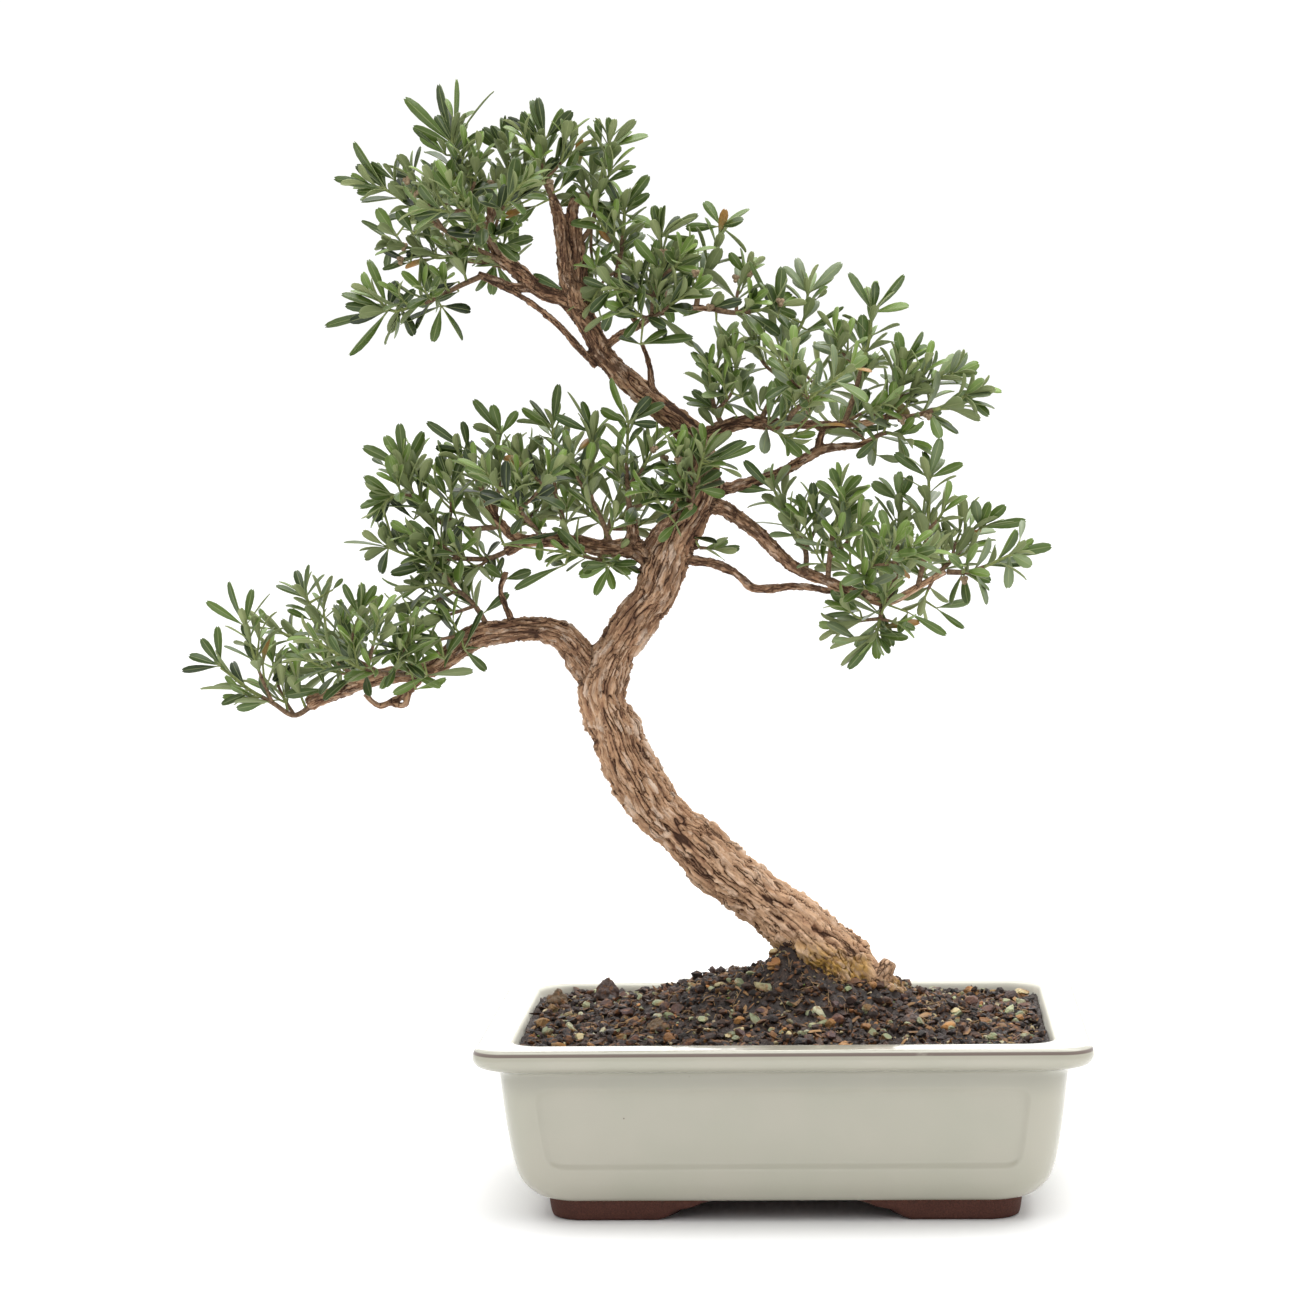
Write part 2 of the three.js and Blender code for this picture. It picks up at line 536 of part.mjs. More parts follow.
function screenSolid(x) {
  const height = FLOOR_HEIGHT + GAP + SCREEN_THICKNESS / 2;
  let screen = box(SCREEN_SIZE, SCREEN_SIZE, SCREEN_THICKNESS, x, 0, height);
  for (const column of [-1, 0, 1]) {
    for (const row of [-1, 0, 1]) {
      const [holeX, holeY] = [x + column * MESH_PITCH, row * MESH_PITCH];
      screen = screen.subtract(box(MESH_HOLE, MESH_HOLE, SCREEN_THICKNESS + PAST, holeX, holeY, height));
    }
  }
  return screen;
}

function rod(from, to) {
  const start = new THREE.Vector3(...from);
  const end = new THREE.Vector3(...to);
  const direction = end.clone().sub(start);
  const geometry = new THREE.CylinderGeometry(WIRE_RADIUS, WIRE_RADIUS, direction.length() + WIRE_RADIUS, 6);
  const up = new THREE.Vector3(0, 1, 0);
  geometry.applyQuaternion(new THREE.Quaternion().setFromUnitVectors(up, direction.normalize()));
  const middle = start.add(end).divideScalar(2);
  return solidOf(geometry.translate(middle.x, middle.y, middle.z));
}

// A wire over the screen, down through the drainage hole and out along the pot's underside
function clipSolid(x) {
  const top = FLOOR_HEIGHT + GAP + SCREEN_THICKNESS + GAP + WIRE_RADIUS;
  const bottom = BASE_HEIGHT - GAP - WIRE_RADIUS;
  const left = x - CLIP_LEG_OFFSET;
  const right = x + CLIP_LEG_OFFSET;
  return joined([
    rod([x - CLIP_ARM, 0, bottom], [left, 0, bottom]),
    rod([left, 0, bottom], [left, 0, top]),
    rod([left, 0, top], [right, 0, top]),
    rod([right, 0, top], [right, 0, bottom]),
    rod([right, 0, bottom], [x + CLIP_ARM, 0, bottom]),
  ]);
}

// Soil and stones

function soilHeight(x, y) {
  const wide = x < MOUND_CENTRE ? MOUND_LEFT : MOUND_RIGHT;
  return SOIL_EDGE + MOUND_RISE * Math.exp(-(((x - MOUND_CENTRE) / wide) ** 2) - (y / MOUND_DEEP) ** 2);
}

function stoneSolid([x, y, radius, flat], index, grown) {
  const stone = new THREE.IcosahedronGeometry(radius, 0).rotateX(index).rotateY(2 * index);
  stone.scale(1, 1, flat);
  const wider = 1 + grown / (radius * flat * STONE_INRADIUS);
  stone.scale(wider, wider, wider).translate(x, y, soilHeight(x, y) + radius * flat * STONE_PROUD);
  return solidOf(stone);
}

function soilSolid(treeAround) {
  const [below, above] = POT_INSIDE.slice(-2);
  const share = (SOIL_EDGE - below[2]) / (above[2] - below[2]);
  const edge = below.map((value, i) => THREE.MathUtils.lerp(value, above[i], share));
  const walls = [...POT_INSIDE.slice(0, -1), edge];
  const rings = walls.length + SOIL_RINGS.length;
  let soil = ringedSkin(rings, 4 * CORNER_POINTS, (ring, spoke, point) => {
    potPoint(walls[Math.min(ring, walls.length - 1)], spoke, GAP * 1.2, point);
    if (ring >= walls.length) {
      const inwards = SOIL_RINGS[ring - walls.length];
      point.x = THREE.MathUtils.lerp(MOUND_CENTRE, point.x, inwards);
      point.y *= inwards;
    }
    point.z = ring < walls.length - 1 ? point.z + GAP : soilHeight(point.x, point.y);
  });
  for (const side of [-1, 1]) {
    const size = SCREEN_SIZE + 2 * GAP;
    const height = SCREEN_THICKNESS + 2 * WIRE_RADIUS + 3 * GAP + PAST;
    soil = soil.subtract(box(size, size, height, side * DRAIN_OFFSET, 0, FLOOR_HEIGHT + height / 2 - PAST));
  }
  STONES.forEach((stone, index) => {
    soil = soil.subtract(stoneSolid(stone, index, GAP));
  });
  return largest(soil.subtract(treeAround));
}

// Tree

function treeSolid(grown) {
  const limbs = LIMBS.map((stations) => limb(stations, LIMB_SIDES, LIMB_STEP, grown));
  return joined([limb(TRUNK, TRUNK_SIDES, TRUNK_STEP, grown), ...limbs]).simplify(SMOOTHING);
}

// Sprays

function twigSolid(points, [startRadius, endRadius]) {
  const last = points.length - 1;
  const radius = (i) => THREE.MathUtils.lerp(startRadius, endRadius, i / last);
  return limb(points.map(([x, z, depth], i) => [x, z, depth, radius(i)]), TWIG_SIDES, TWIG_STEP);
}

function stemsSolid(twigs) {
  return joined(twigs.map((points, i) => twigSolid(points, i === 0 ? STEM_RADIUS : TWIG_RADIUS)));
}

// A flat kite-shaped blade from its base on a twig
function leafSolid(base, direction, across) {
  const blade = new THREE.OctahedronGeometry(1).scale(LEAF_WIDTH / 2, LEAF_LENGTH / 2, LEAF_THICKNESS / 2);
  const facing = new THREE.Vector3().crossVectors(across, direction);
  const place = new THREE.Matrix4().makeBasis(across, direction, facing).setPosition(base);
  return solidOf(blade.translate(0, LEAF_LENGTH / 2, 0).applyMatrix4(place));
}

// Leaves in pairs that stand crosswise in turn, and one at the twig's end
function leavesOn(points, pairPlaces) {
  const path = new THREE.CatmullRomCurve3(points.map(at), false, 'centripetal');
  const spread = THREE.MathUtils.degToRad(LEAF_SPREAD);
  const sightline = new THREE.Vector3(0, 1, 0);
  const leaves = [];
  for (const [pair, place] of pairPlaces.entries()) {
    const along = path.getTangentAt(place);
    const beside = new THREE.Vector3().crossVectors(along, sightline).normalize();
    const through = new THREE.Vector3().crossVectors(along, beside);
    const crosswise = (pairPlaces.length - pair) % 2 === 1 ? beside : through;
    const base = path.getPointAt(place);
    for (const side of [-1, 1]) {
      const direction = along.clone().multiplyScalar(Math.cos(spread))
        .addScaledVector(crosswise, side * Math.sin(spread));
      const across = new THREE.Vector3().crossVectors(along, direction).normalize();
      leaves.push(leafSolid(base, direction, across));
    }
  }
  const along = path.getTangentAt(1);
  const beside = new THREE.Vector3().crossVectors(along, sightline).normalize();
  leaves.push(leafSolid(path.getPointAt(1).addScaledVector(along, -1), along, beside));
  return leaves;
}

function nearBox(a, b) {
  return [0, 1, 2].every((i) => a.min[i] < b.max[i] + GAP && b.min[i] < a.max[i] + GAP);
}

// Whether two solids keep a gap
function clear(a, b) {
  return !nearBox(a.boundingBox(), b.boundingBox()) || a.minGap(b, 2 * GAP) > GAP;
}

// Each spray's stems and the leaves that stay clear of every other spray, cut clear of the tree
function spraySolids(treeAround) {
  const names = Object.keys(SPRAYS);
  const solids = names.map((name) => stemsSolid(SPRAYS[name]).subtract(treeAround));
  names.forEach((name, index) => {
    const others = solids.filter((other, i) => i !== index);
    const leaves = SPRAYS[name].flatMap((points, i) => leavesOn(points, i === 0 ? STEM_PAIRS : TWIG_PAIRS));
    const free = leaves.filter((leaf) => others.every((other) => clear(leaf, other)));
    const whole = joined([solids[index], ...free]).subtract(treeAround);
    solids[index] = largest(whole.simplify(SMOOTHING));
  });
  return names.map((name, index) => [`spray_${name}`, solids[index]]);
}

// The whole bonsai, with its origin under the middle of its box

const tree = treeSolid(0);
const treeAround = treeSolid(GAP);
const bonsai = new THREE.Group();
bonsai.name = 'chinese_boxwood_bonsai';
bonsai.add(meshOf('pot', potSolid(), GLAZE));
bonsai.add(meshOf('trunk_and_limbs', tree, BARK));
bonsai.add(meshOf('potting_soil', soilSolid(treeAround), SOIL));
STONES.forEach((stone, index) => {
  const look = index % 2 === 0 ? LAVA : STONE;
  bonsai.add(meshOf(`grit_stone_${index + 1}`, stoneSolid(stone, index, 0), look));
});
for (const [side, x] of [['left', -DRAIN_OFFSET], ['right', DRAIN_OFFSET]]) {
  bonsai.add(meshOf(`drainage_screen_${side}`, screenSolid(x), SCREEN_PLASTIC));
  bonsai.add(meshOf(`screen_clip_${side}`, clipSolid(x), WIRE, 1));
}
for (const [name, solid] of spraySolids(treeAround)) {
  bonsai.add(meshOf(name, solid, FOLIAGE));
}

const bounds = new THREE.Box3().setFromObject(bonsai, true);
const middle = bounds.getCenter(new THREE.Vector3());
bonsai.position.set(-middle.x, -middle.y, -bounds.min.z);

export default bonsai;
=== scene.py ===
"""A leaning boxwood bonsai in its glazed pot: the looks of every piece around the fixed frame.

Places on the tree and the pot are in millimetres from the pot's middle, as read from the front, and
become metres of the frame where a piece is built.
"""

from __future__ import annotations

import logging
import math
from dataclasses import dataclass, field
from enum import Enum
from typing import Iterable, Sequence

import bmesh
import bpy
import numpy as np
from mathutils import Matrix, Vector


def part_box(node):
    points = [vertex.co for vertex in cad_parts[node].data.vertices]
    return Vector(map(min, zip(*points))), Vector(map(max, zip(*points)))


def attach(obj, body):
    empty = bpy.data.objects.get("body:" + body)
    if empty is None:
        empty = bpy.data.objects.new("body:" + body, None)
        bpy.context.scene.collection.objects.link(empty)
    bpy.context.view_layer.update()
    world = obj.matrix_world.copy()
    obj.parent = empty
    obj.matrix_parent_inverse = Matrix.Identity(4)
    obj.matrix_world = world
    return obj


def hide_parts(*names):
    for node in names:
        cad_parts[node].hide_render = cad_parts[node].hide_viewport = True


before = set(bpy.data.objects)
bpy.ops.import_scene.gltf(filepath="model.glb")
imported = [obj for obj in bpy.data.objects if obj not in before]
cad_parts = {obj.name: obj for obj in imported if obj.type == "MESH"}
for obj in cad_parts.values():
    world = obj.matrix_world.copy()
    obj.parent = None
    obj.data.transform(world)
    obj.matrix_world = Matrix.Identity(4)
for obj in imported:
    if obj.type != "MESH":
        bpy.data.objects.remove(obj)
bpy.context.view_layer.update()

log = logging.getLogger("bonsai")

BODY = "root"
MM = 0.001

# The pot, as the frame has it
POT_LENGTH = 300.0
POT_DEPTH = 216.0
RIM_CORNER = 15.0
BASE_HEIGHT = 8.0
FOOT_LEVEL = -2.0
FLOOR_HEIGHT = 18.0
DRAIN_OFFSET = 60.0
DRAIN_DIAMETER = 16.0

# The soil, as the frame has it
SOIL_EDGE = 79.0
MOUND_RISE = 31.0
MOUND_CENTRE = 12.0
MOUND_LEFT = 88.0
MOUND_RIGHT = 62.0
MOUND_DEEP = 54.0

# The point that the photograph was taken from, and how its camera was turned
EYE = np.array([43.0, -1860.0, 412.0])
YAW = math.radians(3.35)
PITCH = math.radians(4.34)
ROLL = math.radians(-0.93)
FRAME_WIDTH = 1300.0
FOCAL_PIXELS = 3710.0

# Trunk and limbs: x and z as seen from the front in the plane of the trunk, depth behind it, radius
TRUNK = [
    [38, 82, 0, 27], [31, 97, 0, 23], [24, 110, 1, 18.5], [13.8, 120, 2, 16.2], [5, 130, 3, 15.6],
    [-7, 140, 4, 14], [-19.6, 150, 5, 13.6], [-32, 160, 6, 14.4], [-42, 170, 6, 14], [-53.5, 180, 6, 12.2],
    [-63.5, 190, 6, 12.4], [-70, 200, 5, 13.2], [-76, 210, 4, 13.2], [-81, 220, 3, 13], [-84, 230, 2, 12.4],
    [-88.4, 240, 1, 11.6], [-90.5, 252, 0, 12.4], [-87, 264, 0, 12], [-82.5, 272, 0, 10.4],
    [-77, 280, -1, 10.2], [-70.5, 290, -2, 10.2], [-62.8, 300, -3, 10.6], [-58.7, 310, -4, 11.2],
    [-55.2, 320, -4, 10.8], [-49.5, 330, -5, 10], [-44, 340, -5, 9.6], [-39, 350, -5, 8.8],
    [-38, 362, -4, 7.6], [-41, 374, -2, 7.2], [-48, 383, 0, 6.8], [-57.5, 390.5, 2, 6.3],
    [-68, 400, 5, 6.2], [-79, 410.5, 8, 5.6], [-87.5, 420, 10, 5.6], [-92, 430, 9, 5.5], [-96, 438, 7, 5.8],
    [-99.5, 446, 5, 6.4], [-100.5, 452, 5, 6],
]
LIMBS = {
    "root_right": [[34, 104, 0, 15], [46, 100, -2, 9], [56, 92, -3, 7], [68, 82, -4, 4]],
    "root_front": [[24, 104, -6, 13], [24, 93, -18, 9], [24, 84, -28, 5]],
    "root_knob": [[44, 101, -8, 7], [50, 107, -9, 5], [53.5, 112.5, -9, 3.6]],
    "root_back": [[22, 106, 6, 13], [22, 97, 24, 9], [24, 88, 38, 5]],
    "root_left": [[12, 108, 0, 12], [0, 96, -4, 9], [-12, 86, -10, 5]],
    "left_low": [[-91, 254, 0, 10], [-98, 264, -1, 8.8], [-104, 272.5, -2, 7.6], [-112, 279.5, -3, 6.7],
        [-122, 282, -5, 6], [-132, 281.5, -7, 5.8], [-142, 280.5, -8, 5.9], [-152, 279, -9, 6.5],
        [-160, 274.5, -10, 6.3], [-169, 268, -10, 5.6], [-179, 262.5, -10, 4.6], [-190, 260, -9, 4.4],
        [-202, 258.8, -8, 4], [-215, 255, -6, 3.6], [-228, 250, -4, 3.5], [-240, 245, -3, 3.5]],
    "left_low_below": [[-182, 258, -10, 2.4], [-190, 250, -13, 2], [-197, 246, -15, 1.8],
        [-204, 244, -16, 1.6], [-211, 250, -17, 1.3]],
    "left_low_hook": [[-186, 254, -12, 2], [-189, 249, -14, 1.7], [-190, 244.5, -15, 1.5],
        [-195, 244, -16, 1.3], [-198, 246, -16, 1]],
    "left_low_riser": [[-134, 283, -7, 1.8], [-139, 295, -8, 1.6], [-141, 302, -7, 1.5],
        [-138, 311, -5, 1.4]],
    "left_mid": [[-62, 314, -4, 7], [-71, 321, -2, 5.5], [-80, 322, 0, 4.4], [-92, 322.5, 3, 4.2],
        [-104, 325.5, 6, 4], [-116, 326.5, 8, 3.8], [-127, 326, 8, 3.2], [-138, 321, 5, 2.2]],
    "left_mid_riser": [[-122, 326.5, 8, 2.8], [-133, 328.5, 8, 2.5], [-140, 335, 7, 2.4],
        [-145, 342, 7, 2.4], [-148, 351, 7, 1.9]],
    "left_mid_twig": [[-67, 320, -3, 4], [-60, 331, -10, 3], [-54, 339, -16, 2.4], [-51, 350, -20, 1.8]],
    "left_mid_stub": [[-73, 322, -2, 4], [-74, 334, -4, 3], [-75, 344, -6, 2]],
    "right_thin": [[-50, 316.5, -4, 3.2], [-40, 315, -2, 2.5], [-32, 313.5, 0, 2.3], [-25, 310.5, 2, 2.2],
        [-19, 306, 3, 2.2], [-14, 301.5, 4, 2.4], [-4, 301, 4, 2.1], [6, 302, 3, 2], [16, 301, 0, 1.9],
        [26, 299, -6, 1.7], [34, 299.5, -11, 1.7]],
    "right_mid": [[-40, 344, -5, 5], [-28, 341.5, -6, 4], [-20, 336, -7, 3.7], [-13, 331, -8, 3.6],
        [-7, 325, -9, 3.5], [-1, 319, -10, 3.3], [6, 312.5, -11, 3.2], [14, 308, -12, 3],
        [23, 304.5, -12, 2.7], [32, 300.5, -12, 2.5], [42, 296.5, -11, 2.4], [51, 293, -9, 2.2],
        [58, 294.5, -8, 2.2], [65, 298.5, -7, 2], [74, 303.5, -6, 1.8], [84, 308.5, -4, 1.4]],
    "right_upper_mid": [[-36, 351, -5, 5], [-27, 351, -2, 3.2], [-18, 353.5, 1, 2.9], [-8, 356, 4, 2.8],
        [2, 359.5, 6, 2.8], [11, 364.5, 8, 2.7], [21, 370, 9, 2.7], [30, 371.5, 9, 2], [40, 372, 9, 1.7],
        [48, 375, 8, 1.5]],
    "right_link": [[20, 369, 9, 2.2], [21, 376, 8, 1.8], [23, 382, 6, 1.6]],
    "right_upper": [[-41, 374, -2, 5], [-33, 379, 0, 4], [-24, 383, 1, 3.8], [-14, 384.5, 2, 3.8],
        [-4, 383.5, 3, 3], [8, 383, 4, 2.4], [20, 382.5, 5, 2.2], [32, 382.5, 5, 2], [44, 383, 4, 1.8],
        [56, 386.5, 3, 1.5]],
    "bare_stub": [[-60, 394, 3, 2.6], [-63, 404, 3, 1.8], [-63.5, 412, 3, 1.5], [-65.5, 419, 3, 1.2],
        [-68, 426, 3, 1]],
    "crown_under": [[-90, 414, 9, 2.4], [-97, 420.5, 7, 1.9], [-106, 431, 5, 1.7], [-115, 439.5, 4, 1.6],
        [-125.5, 447.5, 2, 1.5], [-137, 454, 0, 1.6], [-149, 460, -3, 1.6]],
    "crown_right": [[-88, 421, 10, 2.6], [-81, 427, 8, 2.1], [-74, 431, 6, 1.9], [-67, 434.5, 4, 1.8],
        [-60, 439, 2, 1.7], [-50, 442, 0, 1.6], [-40, 442, -1, 1.5], [-29, 440.5, -2, 1.4]],
    "crown_right_riser": [[-69, 433.5, 5, 1.7], [-75, 443, 6, 1.5], [-80.5, 453, 8, 1.4],
        [-79, 463, 8, 1.2]],
    "crown_left": [[-98, 442, 6, 6], [-106, 447.5, 5, 4.4], [-114, 450, 5, 4.1], [-121, 454, 5, 4],
        [-127, 460, 5, 4], [-133, 465, 5, 3.8], [-138, 470, 5, 3.4], [-142, 477, 5, 2.4],
        [-142.5, 490, 5, 1.7], [-142, 503, 5, 1.6]],
    "crown_left_below": [[-121, 453, 5, 2.6], [-132, 454, 2, 2.2], [-141, 457.5, -1, 2],
        [-149, 461, -4, 1.7]],
    "crown_stem_right": [[-99, 448, 5, 5], [-98.2, 460, 6, 4.6], [-99.2, 472, 6, 4.1], [-100.6, 482, 6, 4],
        [-101.4, 490, 6, 3.4], [-99, 498, 6, 2.4]],
    "crown_stem_left": [[-101, 449, 5, 5], [-104.6, 459, 3, 4.4], [-105.6, 470, 2, 4],
        [-106.8, 480, 2, 3.8], [-108.5, 490, 3, 3.1], [-111.5, 499, 3, 2], [-113, 506, 3, 1.5]],
    "knob": [[-36, 352, -5, 5], [-31, 355, -8, 4.6], [-29, 356, -9, 3.6]],
    "spike": [[-46, 322, -6, 1.8], [-42, 321.8, -7, 1.3], [-39.5, 321.6, -8, 0.8]],
}

